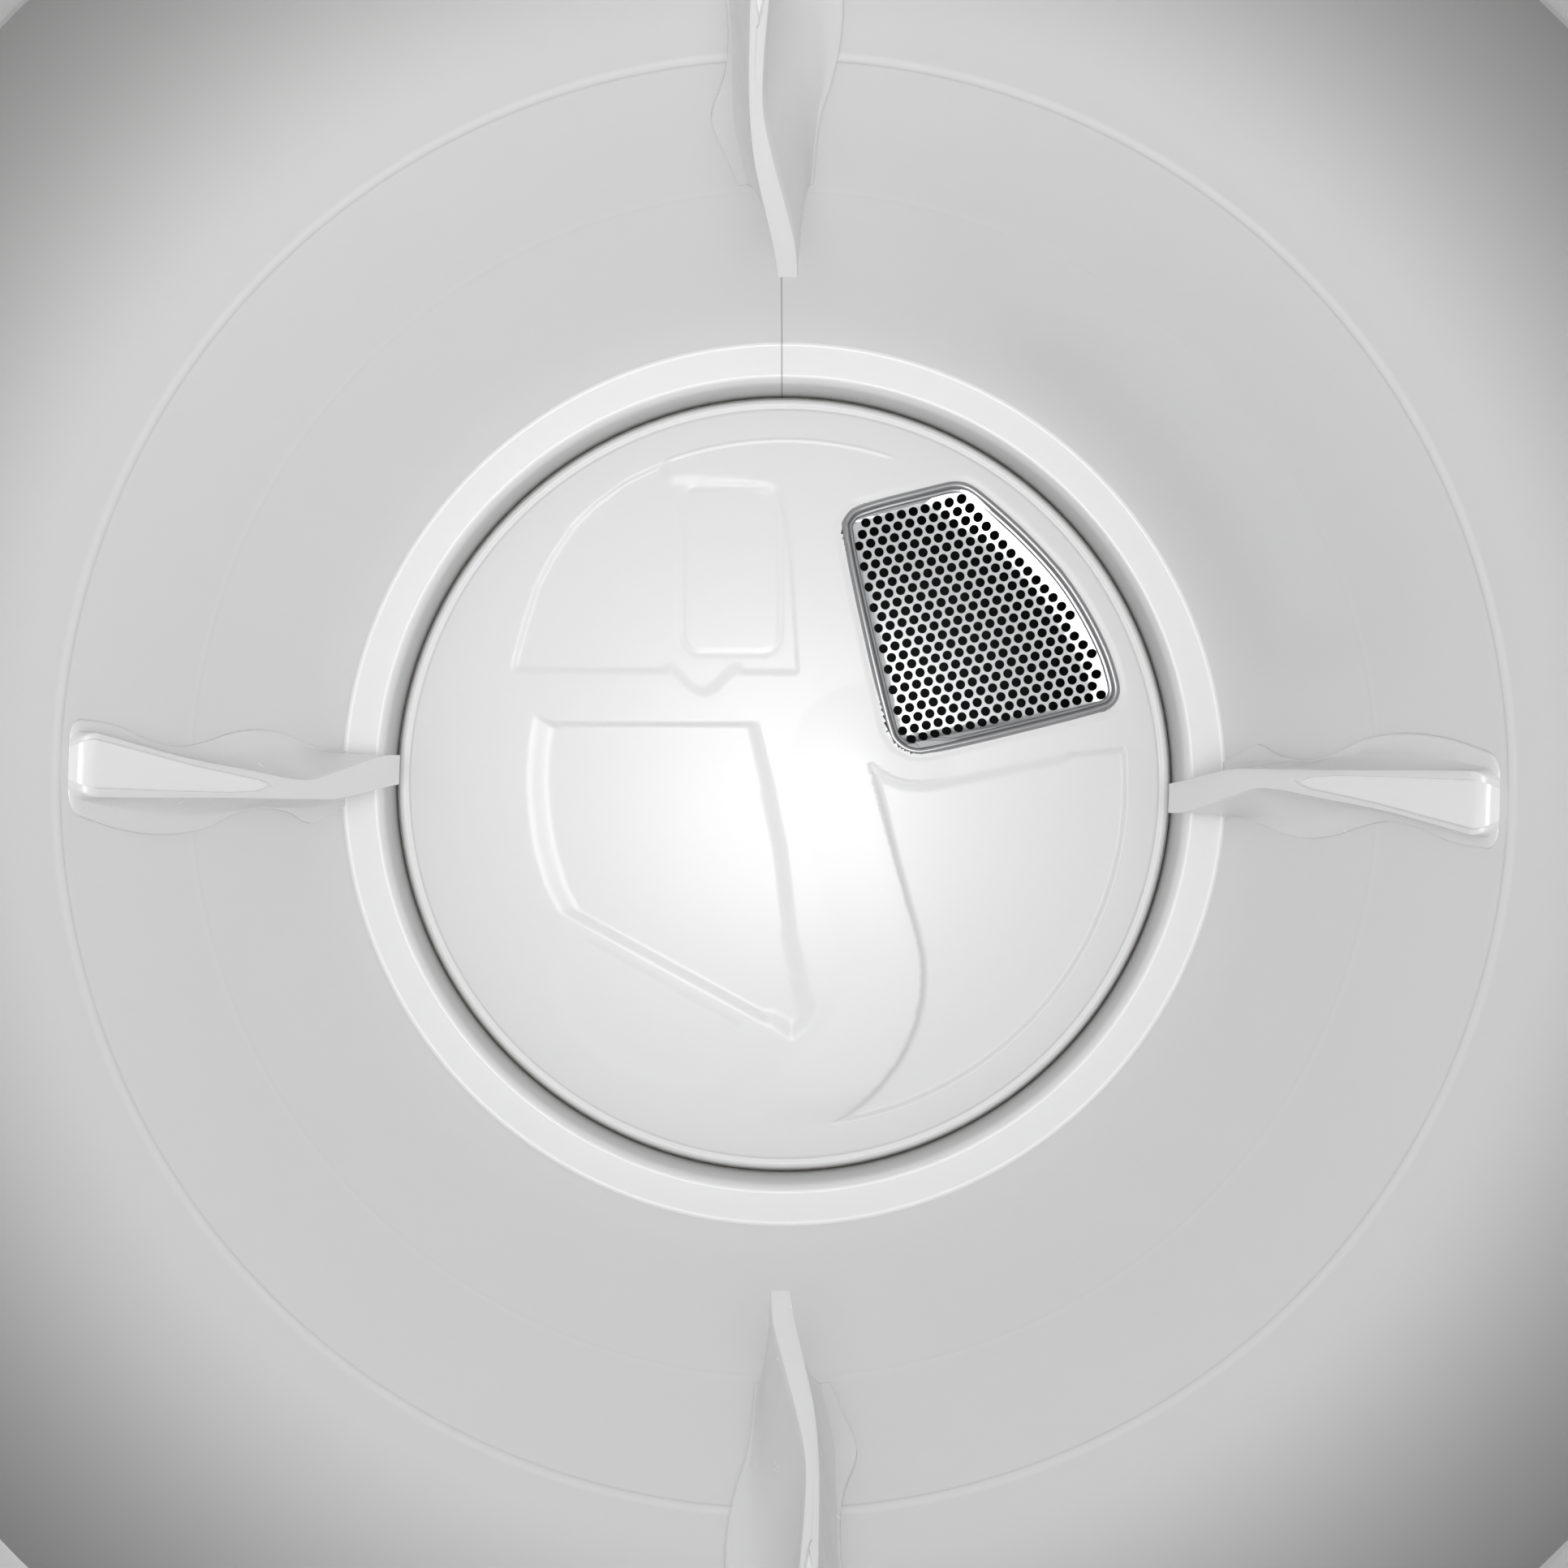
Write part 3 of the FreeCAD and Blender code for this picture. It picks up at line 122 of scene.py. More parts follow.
class Finish:
    """One material, with its nodes written through one method."""

    def __init__(self, name, colour=(0.8, 0.8, 0.8), roughness=0.4, **sockets):
        self.material = bpy.data.materials.new(name)
        self.material.use_nodes = True
        self.tree = self.material.node_tree
        self.shader = self.tree.nodes["Principled BSDF"]
        self.shader.inputs["Base Color"].default_value = (*colour, 1.0)
        self.shader.inputs["Roughness"].default_value = roughness
        for socket, value in sockets.items():
            self.shader.inputs[socket.replace("_", " ")].default_value = value

    def node(self, kind, settings=None, values=()):
        """Add a node, set its options, then fill its sockets. Returns its first output."""
        made = self.tree.nodes.new(kind)
        for name, setting in (settings or {}).items():
            setattr(made, name, setting)
        pairs = values.items() if isinstance(values, dict) else enumerate(values)
        for key, value in pairs:
            self.fill(made.inputs[key], value)
        return Value(self, next(output for output in made.outputs if output.enabled))

    def fill(self, socket, value):
        if isinstance(value, Value):
            self.tree.links.new(value.socket, socket)
        elif isinstance(value, (tuple, list)) and socket.type == "RGBA" and len(value) == 3:
            socket.default_value = (*value, 1.0)
        else:
            socket.default_value = value

    def place(self):
        """Object coordinates."""
        made = self.tree.nodes.new("ShaderNodeTexCoord")
        return Value(self, made.outputs["Object"])

    def axes(self):
        """The three object coordinates as separate values."""
        split = self.tree.nodes.new("ShaderNodeSeparateXYZ")
        self.fill(split.inputs[0], self.place())
        return [Value(self, output) for output in split.outputs]

    def noise(self, scale, detail=3.0, roughness=0.55, stretch=(1.0, 1.0, 1.0)):
        """Cloudy variation between 0 and 1, with so many cells a metre."""
        where = self.node("ShaderNodeMapping", {}, {"Vector": self.place(), "Scale": stretch})
        return self.node("ShaderNodeTexNoise", {}, {
            "Vector": where, "Scale": scale, "Detail": detail, "Roughness": roughness})

    def mix(self, share, low, high):
        """A colour between two colours."""
        made = self.tree.nodes.new("ShaderNodeMix")
        made.data_type = "RGBA"
        for socket, value in zip((made.inputs[0], made.inputs[6], made.inputs[7]),
                                 (share, low, high)):
            self.fill(socket, value)
        return Value(self, made.outputs[2])

    def colour(self, value):
        self.fill(self.shader.inputs["Base Color"], value)

    def rough(self, value):
        self.fill(self.shader.inputs["Roughness"], value)

    def bump(self, height, distance, strength=1.0):
        """Small relief from a height between 0 and 1, a distance deep in metres."""
        self.fill(self.shader.inputs["Normal"], self.node(
            "ShaderNodeBump", {}, {"Height": height, "Distance": distance,
                                   "Strength": strength}))


# ---- Finishes ------------------------------------------------------------------------------

def white_enamel(name, shade, roughness):
    """Baked white enamel, with slight orange peel, very faint clouding and a trace of wiping."""
    finish = Finish(name, roughness=roughness)
    cloud = finish.noise(7.0, 0.0)
    finish.colour(finish.mix(cloud, [c * 0.997 for c in shade], [min(c * 1.002, 1) for c in shade]))
    wiped = finish.noise(16.0, 1.0)
    finish.rough(roughness * 0.97 + wiped * (roughness * 0.06))
    finish.bump(finish.noise(520.0, 2.0), 0.02 * MM, 0.35)
    return finish


def drum_enamel():
    """The drum's enamel, with its lapped weld seam as a painted shade line over a bump groove,
    faint tumbling wear streaks, painted shade darkening the front, and a paler rear shoulder and
    neck as painted light."""
    finish = Finish("drum_enamel", roughness=0.24)
    x, y, z = finish.axes()
    upper = z.above(AXIS.z, 1 * MM)
    # Painted shade: the seam's lap is not modelled, so its shade is painted as a dark line in the
    # colour, with a groove in the bump.
    seam = x.near(-1.6 * MM, 1.1 * MM) * upper * (1 - y.above(NECK_BACK + 1 * MM, 1 * MM))
    cloud = finish.noise(5.0, 0.0)
    wall = finish.mix(cloud, (0.816, 0.816, 0.816), (0.820, 0.820, 0.820))
    # Painted light: the rear shoulder and neck get a paler colour to make up for the shade that
    # falls in the neck.
    shoulder = y.above(DRUM_BACK - 2.4 * MM, 1 * MM)
    rear = finish.mix(shoulder, wall, (0.96, 0.96, 0.96))
    # Painted shade: towards the door the drum's colour falls to less than half, standing in for the
    # shade that falls there.
    front_shade = 1 - y.above(-150 * MM, 150 * MM)
    base = finish.mix(front_shade, rear, (0.42, 0.42, 0.42))
    streaks = finish.noise(60.0, 0.0, 0.5, (1.0, 0.15, 1.0)) * 0.004
    # Faint wear streaks laid over the painted shade and painted light above.
    wear_and_shade = finish.mix(streaks, base, (0.6, 0.6, 0.6))
    finish.colour(finish.mix(seam * 0.7, wear_and_shade, (0.30, 0.30, 0.30)))
    finish.rough(0.262 + finish.noise(14.0, 1.0) * 0.012)
    finish.bump(finish.noise(480.0, 2.0) - seam * 4.0, 0.02 * MM, 0.4)
    return finish


def moulded_plastic(name, shade, roughness):
    """Moulded plastic with a fine spark-eroded grain."""
    finish = Finish(name, roughness=roughness)
    finish.colour(finish.mix(finish.noise(22.0, 3.0), [c * 0.98 for c in shade],
                             [min(c * 1.01, 1) for c in shade]))
    finish.rough(roughness * 0.88 + finish.noise(90.0, 3.0) * (roughness * 0.24))
    finish.bump(finish.noise(1400.0, 2.0), 0.015 * MM, 0.45)
    return finish


def rolled_metal(name, shade, roughness, scratch=300.0):
    """Bare sheet metal with drawn scratches and a little tone from handling."""
    finish = Finish(name, roughness=roughness, Metallic=1.0)
    lines = finish.noise(scratch, 4.0, 0.6)
    cloud = finish.noise(11.0, 4.0)
    finish.colour(finish.mix(cloud, [c * 0.88 for c in shade], shade))
    finish.rough(roughness * 0.75 + lines * (roughness * 0.5))
    finish.bump(lines, 0.012 * MM, 0.5)
    return finish


def galvanised():
    """Zinc-coated sheet with its crystal spangle."""
    finish = Finish("galvanised_sheet", roughness=0.42, Metallic=1.0)
    spangle = finish.node("ShaderNodeTexVoronoi", {"feature": "F1"},
                          {"Vector": finish.place(), "Scale": 95.0})
    tone = finish.node("ShaderNodeTexVoronoi", {"feature": "F1", "distance": "MANHATTAN"},
                       {"Vector": finish.place(), "Scale": 60.0})
    finish.colour(finish.mix(tone, (0.56, 0.58, 0.60), (0.74, 0.75, 0.77)))
    finish.rough(0.32 + spangle * 0.22)
    finish.bump(spangle, 0.01 * MM, 0.4)
    return finish


def wool_felt():
    finish = Finish("wool_felt", roughness=0.95, Sheen_Weight=0.3)
    fibres = finish.noise(900.0, 5.0, 0.7)
    finish.colour(finish.mix(fibres, (0.34, 0.33, 0.31), (0.62, 0.60, 0.57)))
    finish.bump(fibres, 0.25 * MM, 0.8)
    return finish


def black_rubber():
    finish = Finish("black_rubber", roughness=0.7)
    bloom = finish.noise(40.0, 5.0)
    finish.colour(finish.mix(bloom, (0.020, 0.020, 0.021), (0.055, 0.055, 0.057)))
    finish.rough(0.58 + bloom * 0.22)
    finish.bump(finish.noise(700.0, 3.0), 0.05 * MM, 0.5)
    return finish


def dull_metal(name, dark, light, roughness):
    """Painted or scaled metal of one dark tone."""
    finish = Finish(name, roughness=roughness, Metallic=0.4)
    scale = finish.noise(55.0, 5.0, 0.65)
    finish.colour(finish.mix(scale, dark, light))
    finish.rough(roughness * 0.8 + scale * (roughness * 0.3))
    finish.bump(finish.noise(420.0, 4.0), 0.04 * MM, 0.5)
    return finish


def clear_glass(name, tint, roughness, alpha):
    """Door or display glass, with the faint smears that hands leave on it."""
    finish = Finish(name, colour=tint, roughness=roughness, IOR=1.5)
    smear = finish.noise(9.0, 5.0, 0.6).above(0.55, 0.3)
    finish.rough(roughness + smear * 0.06)
    finish.fill(finish.shader.inputs["Alpha"], alpha + smear * 0.03)
    finish.colour(finish.mix(smear, tint, [c * 0.9 + 0.03 for c in tint]))
    return finish


def circuit_board():
    finish = Finish("circuit_board", roughness=0.45)
    tracks = finish.node("ShaderNodeTexBrick", {"offset": 0.5}, {
        "Vector": finish.place(), "Scale": 90.0, "Mortar Size": 0.03,
        "Color1": (0.03, 0.16, 0.07), "Color2": (0.035, 0.19, 0.08), "Mortar": (0.25, 0.2, 0.08)})
    finish.colour(tracks)
    finish.rough(0.38 + finish.noise(60.0) * 0.15)
    return finish


# ---- Piece making --------------------------------------------------------------------------

def add_piece(name, shape, body, finish, replaces=()):
    """Turn a bmesh into a finished piece that rides on a body."""
    mesh = bpy.data.meshes.new(name)
    shape.to_mesh(mesh)
    shape.free()
    mesh.polygons.foreach_set("use_smooth", [True] * len(mesh.polygons))
    mesh.materials.append(finish.material)
    piece = bpy.data.objects.new(name, mesh)
    bpy.context.collection.objects.link(piece)
    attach(piece, body)
    if replaces:
        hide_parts(*replaces)
    return piece


def sharpen(piece, degrees):
    """Shade the piece smooth except across edges sharper than an angle."""
    piece.data.set_sharp_from_angle(angle=math.radians(degrees))


def lathe(profile, steps):
    """Spin a line of (radius, distance along the axis) points about the drum's axis.

    One eighth is spun, then doubled three times, and the seams are welded."""
    turned = bmesh.new()
    along = Vector((0, 1, 0))
    line = [turned.verts.new(AXIS + Vector((radius, place, 0)))
            for radius, place in profile]
    for start, end in zip(line, line[1:]):
        turned.edges.new((start, end))
    angle = math.pi / 4
    bmesh.ops.spin(turned, geom=turned.verts[:] + turned.edges[:], cent=AXIS, axis=along,
                   angle=angle, steps=steps // 8)
    for _ in range(3):
        copied = bmesh.ops.duplicate(
            turned, geom=turned.verts[:] + turned.edges[:] + turned.faces[:])
        fresh = [item for item in copied["geom"] if isinstance(item, bmesh.types.BMVert)]
        bmesh.ops.rotate(turned, verts=fresh, cent=AXIS,
                         matrix=Matrix.Rotation(angle, 3, along))
        angle *= 2
    bmesh.ops.remove_doubles(turned, verts=turned.verts, dist=0.02 * MM)
    bmesh.ops.recalc_face_normals(turned, faces=turned.faces)
    return turned


def bend(start, middle, end, steps=6):
    """Points on a smooth bend from start to end that heads for the middle."""
    a, b, c = (np.array(point, float) for point in (start, middle, end))
    shares = np.linspace(0, 1, steps)
    return [tuple(a * (1 - s) ** 2 + b * 2 * s * (1 - s) + c * s * s) for s in shares]


def smooth_step(share):
    share = np.clip(share, 0, 1)
    return share * share * (3 - 2 * share)


def segment_distances(points, outline, closed=True):
    """Distance of each point to each straight stretch of an outline."""
    start = np.array(outline, float)
    end = np.roll(start, -1, axis=0)
    if not closed:
        start, end = start[:-1], end[:-1]
    step = end - start
    offset = points[:, None, :] - start[None]
    share = np.clip((offset * step).sum(2) / (step * step).sum(1), 0, 1)
    return np.linalg.norm(offset - share[..., None] * step, axis=2)


def inside(points, outline):
    """Whether each point lies inside a closed outline."""
    start = np.array(outline, float)
    end = np.roll(start, -1, axis=0)
    x, z = points[:, :1], points[:, 1:]
    spans = (start[:, 1] > z) != (end[:, 1] > z)
    rise = np.where(end[:, 1] == start[:, 1], 1e-9, end[:, 1] - start[:, 1])
    crossing = start[:, 0] + (z - start[:, 1]) / rise * (end[:, 0] - start[:, 0])
    return (spans & (x < crossing)).sum(1) % 2 == 1


# ---- Stamped rear bulkhead -----------------------------------------------------------------

# Outlines pressed into the disc, in millimetres right of and above the drum's axis.
RECESS = [(-195, 54), (-175, 48), (-18, 47.5), (-5, -6), (4, -49), (12, -116), (20, -150),
          (27, -174), (19, -190), (6, -200), (-11, -188), (-167, -103), (-176, -98),
          (-187, -77), (-195, -50), (-199, -22), (-200.5, 6), (-199, 30)]
RECESS_WALLS = [5, 3, 12, 14, 14, 16, 18, 14, 14, 14, 8.5, 10, 17, 19, 19, 19, 19, 19]
DISH_LEFT = [(66, 17), (79.5, -36), (94, -89), (102, -116), (106, -135), (106.5, -150),
             (105, -168), (101, -185), (94, -203), (84.5, -218.5), (73, -233), (61, -245),
             (47, -255), (35, -262)]
DISH_TOP = [(215, 24), (158, 12), (135, 7), (115, 3), (105, 2), (93, 3), (81.5, 7), (73, 12)]
DISH_RADIUS = 265.4
POCKET_LEFT = [(-94.5, 249), (-124, 235), (-148, 217), (-165, 200), (-181, 176), (-193, 153),
               (-203, 121), (-210, 95), (-211.5, 86)]
POCKET_DIP = [(-88, 85), (-82, 79), (-74, 71), (-67, 67.5), (-62.5, 66.5), (-58, 67.5),
              (-51, 71), (-43, 79), (-37, 85)]
POCKET_RIGHT = [(12.5, 85), (6.3, 184), (2, 212), (-5, 231), (-34, 238.5), (-60, 240.5),
                (-86, 240)]
KIDNEY = [(-152, -118), (-32, -185), (-28, -193), (-30, -204), (-37.5, -218.5), (-54.5, -230.5),
          (-83, -234), (-110, -230.5), (-136, -218.5), (-157, -202), (-173, -180), (-181, -157),
          (-179, -143), (-171, -130), (-160, -120)]
KIDNEY_WALLS = [3, 5] + [11] * 11 + [8, 5]
PAD_CENTRE, PAD_HALF, PAD_CORNER = (-40.7, 165.6), (40.7, 67.3), 17
# Depths and heights of the disc's pressed forms, in millimetres.
RECESS_DEPTH, DISH_DEPTH, POCKET_DEPTH, KIDNEY_DEPTH = 5.0, 4.5, 2.2, 0.6
STRIP_HEIGHT, STRIP_WIDTH, STRIP_FADE = 3.6, 62, 26
PAD_GROOVE, TOP_ARC_HEIGHT, GRILLE_SEAT = 0.9, 0.8, 1.2
FLAT_RADIUS = 287.5
GRILLE = [(42.5, 197), (47, 208), (56, 216), (120, 232), (131, 234.5), (142, 233), (153, 226),
          (185, 198), (216, 165), (236, 135), (252, 103), (259, 80), (260, 70), (256, 61),
          (247, 55), (112, 22), (98, 22), (86, 28), (78, 40)]


def arc(radius, start, end, steps):
    """Points on a circle about the drum's axis, angles in degrees."""
    angles = np.radians(np.linspace(start, end, steps))
    return [(radius * math.cos(a), radius * math.sin(a)) for a in angles]


def pressing(points, outline, walls, depth):
    """Depth of a recess with a rounded wall of its own width along each stretch."""
    reach = segment_distances(points, outline) / np.array(walls, float)
    return np.where(inside(points, outline), depth * smooth_step(reach.min(axis=1)), 0.0)


def relief(points):
    """How far the stamped disc stands behind its flat rim, in millimetres."""
    radius = np.linalg.norm(points, axis=1)
    angle = np.degrees(np.arctan2(points[:, 1], points[:, 0]))
    depth = pressing(points, RECESS, RECESS_WALLS, RECESS_DEPTH)
    dish_edge = arc(DISH_RADIUS, -82, 6, 45)
    dish = DISH_LEFT + dish_edge + DISH_TOP
    walls = [4.5] * len(DISH_LEFT) + [3.2] * len(dish_edge) + [9] * len(DISH_TOP)
    depth += pressing(points, dish, walls, DISH_DEPTH)
    ridge = segment_distances(points, DISH_LEFT, closed=False).min(axis=1)
    outside = ~inside(points, dish)
    fade = smooth_step((DISH_RADIUS - radius) / STRIP_FADE)
    slope = np.clip(1 - ridge / STRIP_WIDTH, 0, 1) - 0.12 * np.exp(-ridge / 5)
    depth -= np.where(outside, STRIP_HEIGHT * slope * fade, 0)
    pocket = POCKET_LEFT + POCKET_DIP + POCKET_RIGHT
    walls = ([4.5] * len(POCKET_LEFT) + [9] * (len(POCKET_DIP) - 1) + [3.2]
             + [3.5, 4, 7, 11, 13, 11, 5])
    depth += pressing(points, pocket, walls, POCKET_DEPTH)
    pad_offset = np.abs(points - PAD_CENTRE) - np.array(PAD_HALF) + PAD_CORNER
    pad_edge = (np.linalg.norm(np.maximum(pad_offset, 0), axis=1)
                + np.minimum(pad_offset.max(axis=1), 0) - PAD_CORNER)
    depth += PAD_GROOVE * smooth_step(1 - np.abs(pad_edge + 2.8) / 3.2)
    depth += pressing(points, KIDNEY, KIDNEY_WALLS, KIDNEY_DEPTH)
    top_arc = smooth_step((angle - 71) / 2) * smooth_step((110.5 - angle) / 1.5)
    depth -= TOP_ARC_HEIGHT * np.exp(-((radius - DISH_RADIUS) / 1.3) ** 2) * top_arc
    margin = segment_distances(points, GRILLE).min(axis=1)
    depth += GRILLE_SEAT * smooth_step((4.5 - margin) / 3.5)
    return depth


def rear_bulkhead(finish):
    """The stamped disc with its rolled rim, the skirt and the flange behind it."""
    rim = DISC_RADIUS / MM
    rings = np.concatenate([np.linspace(0, 261, 134), np.linspace(262, 269, 12),
                            np.linspace(271, 287, 8)])
    profile = [(ring, 0.0) for ring in rings]
    profile += [(288.6, 0), (289.4, 0.9), (290.4, 0.9), (291.6, -0.3), (293.4, -0.9),
                (295.2, -0.6), (296.4, 0.3), (297.4, 1.4), (rim, 3.0), (rim, 8), (rim, 24.5),
                (300, 25.5), (320, 25.6), (341, 25.6)]
    disc = lathe([(radius * MM, DISC_PLANE + depth * MM) for radius, depth in profile],
                 steps=592)
    places = np.array([(v.co.x - AXIS.x, v.co.z - AXIS.z) for v in disc.verts]) / MM
    shift = np.where(np.linalg.norm(places, axis=1) < FLAT_RADIUS, relief(places), 0.0)
    for vert, depth in zip(disc.verts, shift):
        vert.co.y += depth * MM
    centres = np.array([face.calc_center_median() for face in disc.faces])
    places = (centres[:, [0, 2]] - np.array((AXIS.x, AXIS.z))) / MM
    near_edge = segment_distances(places, GRILLE).min(axis=1)
    window = inside(places, GRILLE) & (near_edge > 1.5)
    hidden = [face for face, cut in zip(disc.faces[:], window) if cut]
    bmesh.ops.delete(disc, geom=hidden, context="FACES")
    add_piece("stamped_rear_bulkhead", disc, "cabinet", finish,
              ["rear_bulkhead"])


# ---- Perforated grille ---------------------------------------------------------------------

GRILLE_DEPTH = 8.5
GRILLE_PITCH = 9.5
GRILLE_HOLE = 3.75
GRILLE_TILT = 13.3
PLATE_INSET = 3.0
PLATE_SEAT = 1.2
PLATE_SHEET = 0.9
# Straight stretches of the plate's sides with the width of the slope along each.
GRILLE_SLOPES = [((131, 234), (185, 198), 27), ((185, 198), (216, 165), 27),
                 ((216, 165), (236, 135), 27), ((236, 135), (252, 103), 25),
                 ((252, 103), (260, 72), 22), ((247, 55), (86, 28), 9),
                 ((78, 36), (42.5, 197), 14), ((47, 212), (131, 234), 10)]


def grille_curve(name, outline, holes):
    """A flat filled curve in the X-Y plane with round holes, as a bmesh in millimetres."""
    curve = bpy.data.curves.new(name, "CURVE")
    curve.dimensions = "2D"
    curve.fill_mode = "BOTH"
    circle = [(math.cos(a), math.sin(a)) for a in np.linspace(0, 2 * math.pi, 17)[:-1]]
    loops = [outline] + [[(x + GRILLE_HOLE * c, z + GRILLE_HOLE * s) for c, s in circle]
                         for x, z in holes]
    for loop in loops:
        spline = curve.splines.new("POLY")
        spline.points.add(len(loop) - 1)
        for point, (x, z) in zip(spline.points, loop):
            point.co = (x, z, 0, 1)
        spline.use_cyclic_u = True
    carrier = bpy.data.objects.new(name, curve)
    flat = bmesh.new()
    flat.from_mesh(bpy.data.meshes.new_from_object(carrier))
    bpy.data.objects.remove(carrier)
    bpy.data.curves.remove(curve)
    bmesh.ops.remove_doubles(flat, verts=flat.verts, dist=0.01)
    return flat


def inset_outline(outline, distance):
    """The outline moved inwards by a distance along its corners' inward directions."""
    points = np.array(outline, float)
    ahead = np.roll(points, -1, axis=0) - points
    ahead /= np.linalg.norm(ahead, axis=1)[:, None]
    behind = np.roll(ahead, 1, axis=0)
    turning = (ahead + behind) / np.linalg.norm(ahead + behind, axis=1)[:, None]
    inward = np.stack([turning[:, 1], -turning[:, 0]], axis=1)
    return [tuple(point) for point in points + inward * distance]


def grille_hole_centres(edge):
    """Staggered rows of hole centres, tilted as a whole, kept clear of the edge."""
    tilt = math.radians(GRILLE_TILT)
    along = np.array((math.cos(tilt), math.sin(tilt)))
    up = np.array((-math.sin(tilt), math.cos(tilt)))
    first = np.array((54.5, 201.5))
    places = []
    for row in range(-2, 26):
        for column in range(-10, 30):
            shift = (column + 0.5 * (row % 2)) * GRILLE_PITCH
            places.append(first + along * shift - up * row * GRILLE_PITCH * math.sqrt(0.75))
    places = np.array(places)
    margin = segment_distances(places, edge).min(axis=1)
    return places[inside(places, edge) & (margin > GRILLE_HOLE)]


def side_slopes():
    """Each side of the plate as (point, inward direction over the slope's width)."""
    slopes = []
    for start, end, width in GRILLE_SLOPES:
        step = np.array(end, float) - start
        inward = np.array((step[1], -step[0])) / np.linalg.norm(step)
        slopes.append((np.array(start, float), inward / width))
    return slopes


def air_grille(finish):
    """The dished perforated plate: a flat floor with a slope along every side."""
    edge = rounded_outline(inset_outline(GRILLE, PLATE_INSET), 1)
    plate = grille_curve("grille_plate", edge, grille_hole_centres(inset_outline(GRILLE, 8)))
    slopes = side_slopes()
    creases = [(point + fall * share / (fall @ fall), fall)
               for point, fall in slopes for share in (0.3, 0.55, 0.8, 1.0)]
    for (point, fall), (start, later) in zip(slopes, slopes[1:] + slopes[:1]):
        level = fall - later
        offset = point @ fall - start @ later
        creases.append((level * offset / (level @ level), level))
    for point, normal in creases:
        bmesh.ops.bisect_plane(plate, geom=plate.verts[:] + plate.edges[:] + plate.faces[:],
                               dist=0.001, plane_co=(*point, 0), plane_no=(*normal, 0))
    for vert in plate.verts:
        place = np.array((vert.co.x, vert.co.y))
        share = min(max(min((place - point) @ fall for point, fall in slopes), 0.0), 1.0)
        vert.co.z = GRILLE_DEPTH * (1 - (1 - share) ** 1.7) + PLATE_SEAT
    bmesh.ops.recalc_face_normals(plate, faces=plate.faces)
    bmesh.ops.solidify(plate, geom=plate.faces[:], thickness=PLATE_SHEET)
    seat = Matrix.Translation(Vector((AXIS.x, DISC_PLANE, AXIS.z))) @ Matrix(
        ((MM, 0, 0, 0), (0, 0, MM, 0), (0, MM, 0, 0), (0, 0, 0, 1)))
    bmesh.ops.transform(plate, matrix=seat, verts=plate.verts)
    bmesh.ops.recalc_face_normals(plate, faces=plate.faces)
    piece = add_piece("perforated_grille", plate, "cabinet", finish,
                      ["air_inlet_grille"])
    sharpen(piece, 12)


def swept_rim(name, outline, section, finish):
    """A rim of one section carried round a closed outline that lies across the drum."""
    rim = bmesh.new()
    loops = []
    for inset, depth in section:
        loop = [rim.verts.new((AXIS.x + x * MM, DISC_PLANE + depth * MM, AXIS.z + z * MM))
                for x, z in inset_outline(outline, inset)]
        edges = [rim.edges.new((a, b)) for a, b in zip(loop, loop[1:] + loop[:1])]
        loops.append(edges)
    for one, other in zip(loops, loops[1:]):
        bmesh.ops.bridge_loops(rim, edges=one + other)
    bmesh.ops.recalc_face_normals(rim, faces=rim.faces)
    add_piece(name, rim, "cabinet", finish)


def rounded_outline(outline, rounds=3):
    """The outline with every corner cut back in turn, which rounds it."""
    points = np.array(outline, float)
    for _ in range(rounds):
        after = np.roll(points, -1, axis=0)
        points = np.stack([points * 0.75 + after * 0.25, points * 0.25 + after * 0.75],
                          axis=1).reshape(-1, 2)
    return [tuple(point) for point in points]


def grille_rim(finish):
    """The rolled frame round the grille: a groove, a bead and the inner wall."""
    section = [(-2.0, 2.4), (-1.2, 2.2), (-0.5, 2.0), (0.0, 1.4), (0.6, 0.5), (1.4, -0.5),
               (2.4, -1.1), (3.4, -1.3), (4.4, -1.0), (5.2, -0.3), (5.8, 0.7), (6.3, 1.5),
               (6.9, 1.8), (7.7, 1.8), (8.3, 2.2), (8.7, 3.4)]
    outline = rounded_outline(GRILLE, 2)
    swept_rim("grille_rim", outline, section, finish)


# ---- Drum ----------------------------------------------------------------------------------

def drum_shell(finish):
    """The drum: rolled front edge, pressed bead, wall, rounded rear shoulder and neck."""
    bore, wall = DRUM_BORE / MM, DRUM_WALL / MM
    front, back, end = DRUM_FRONT / MM, DRUM_BACK / MM, NECK_BACK / MM
    neck = NECK_BORE / MM
    bead, rise, half = -67, 0.9, 3.0
    inner = [(bore, front + 1), (bore, bead - 10), (bore, bead - half - 1.5)]
    inner += bend((bore, bead - half - 1), (bore, bead - half), (bore - rise / 2, bead - 2), 4)
    inner += bend((bore - rise / 2, bead - 2), (bore - 1.4 * rise, bead),
                  (bore - rise / 2, bead + 2), 7)[1:]
    inner += bend((bore - rise / 2, bead + 2), (bore, bead + half), (bore, bead + half + 1),
                  4)[1:]
    inner += [(bore, bead + half + 1.5), (bore, bead + 10), (bore, 38), (bore, 41.8),
              (bore - 0.14, 43), (bore, 44.2), (bore, 48), (bore, back - 6)]
    inner += bend((bore, back - 3), (bore, back), (bore - 3, back), 8)
    inner += [(bore - 4.5, back), (neck + 4.5, back)]
    inner += bend((neck + 2.6, back), (neck, back), (neck, back + 2.6), 6)
    inner += [(neck, back + 4.5), (neck, end)]
    outer = [(radius + wall, place + (wall if place > back - 12 else 0))
             for radius, place in reversed(inner[:-1])]
    outer[0] = (neck + wall, end)
    loop = inner + [(neck + wall, end)] + outer[1:] + [inner[0]]
    shell = lathe([(radius * MM, place * MM) for radius, place in loop], steps=288)
    add_piece("drum_shell_sheet", shell, "drum", finish, ["drum_shell"])


# ---- Baffles -------------------------------------------------------------------------------

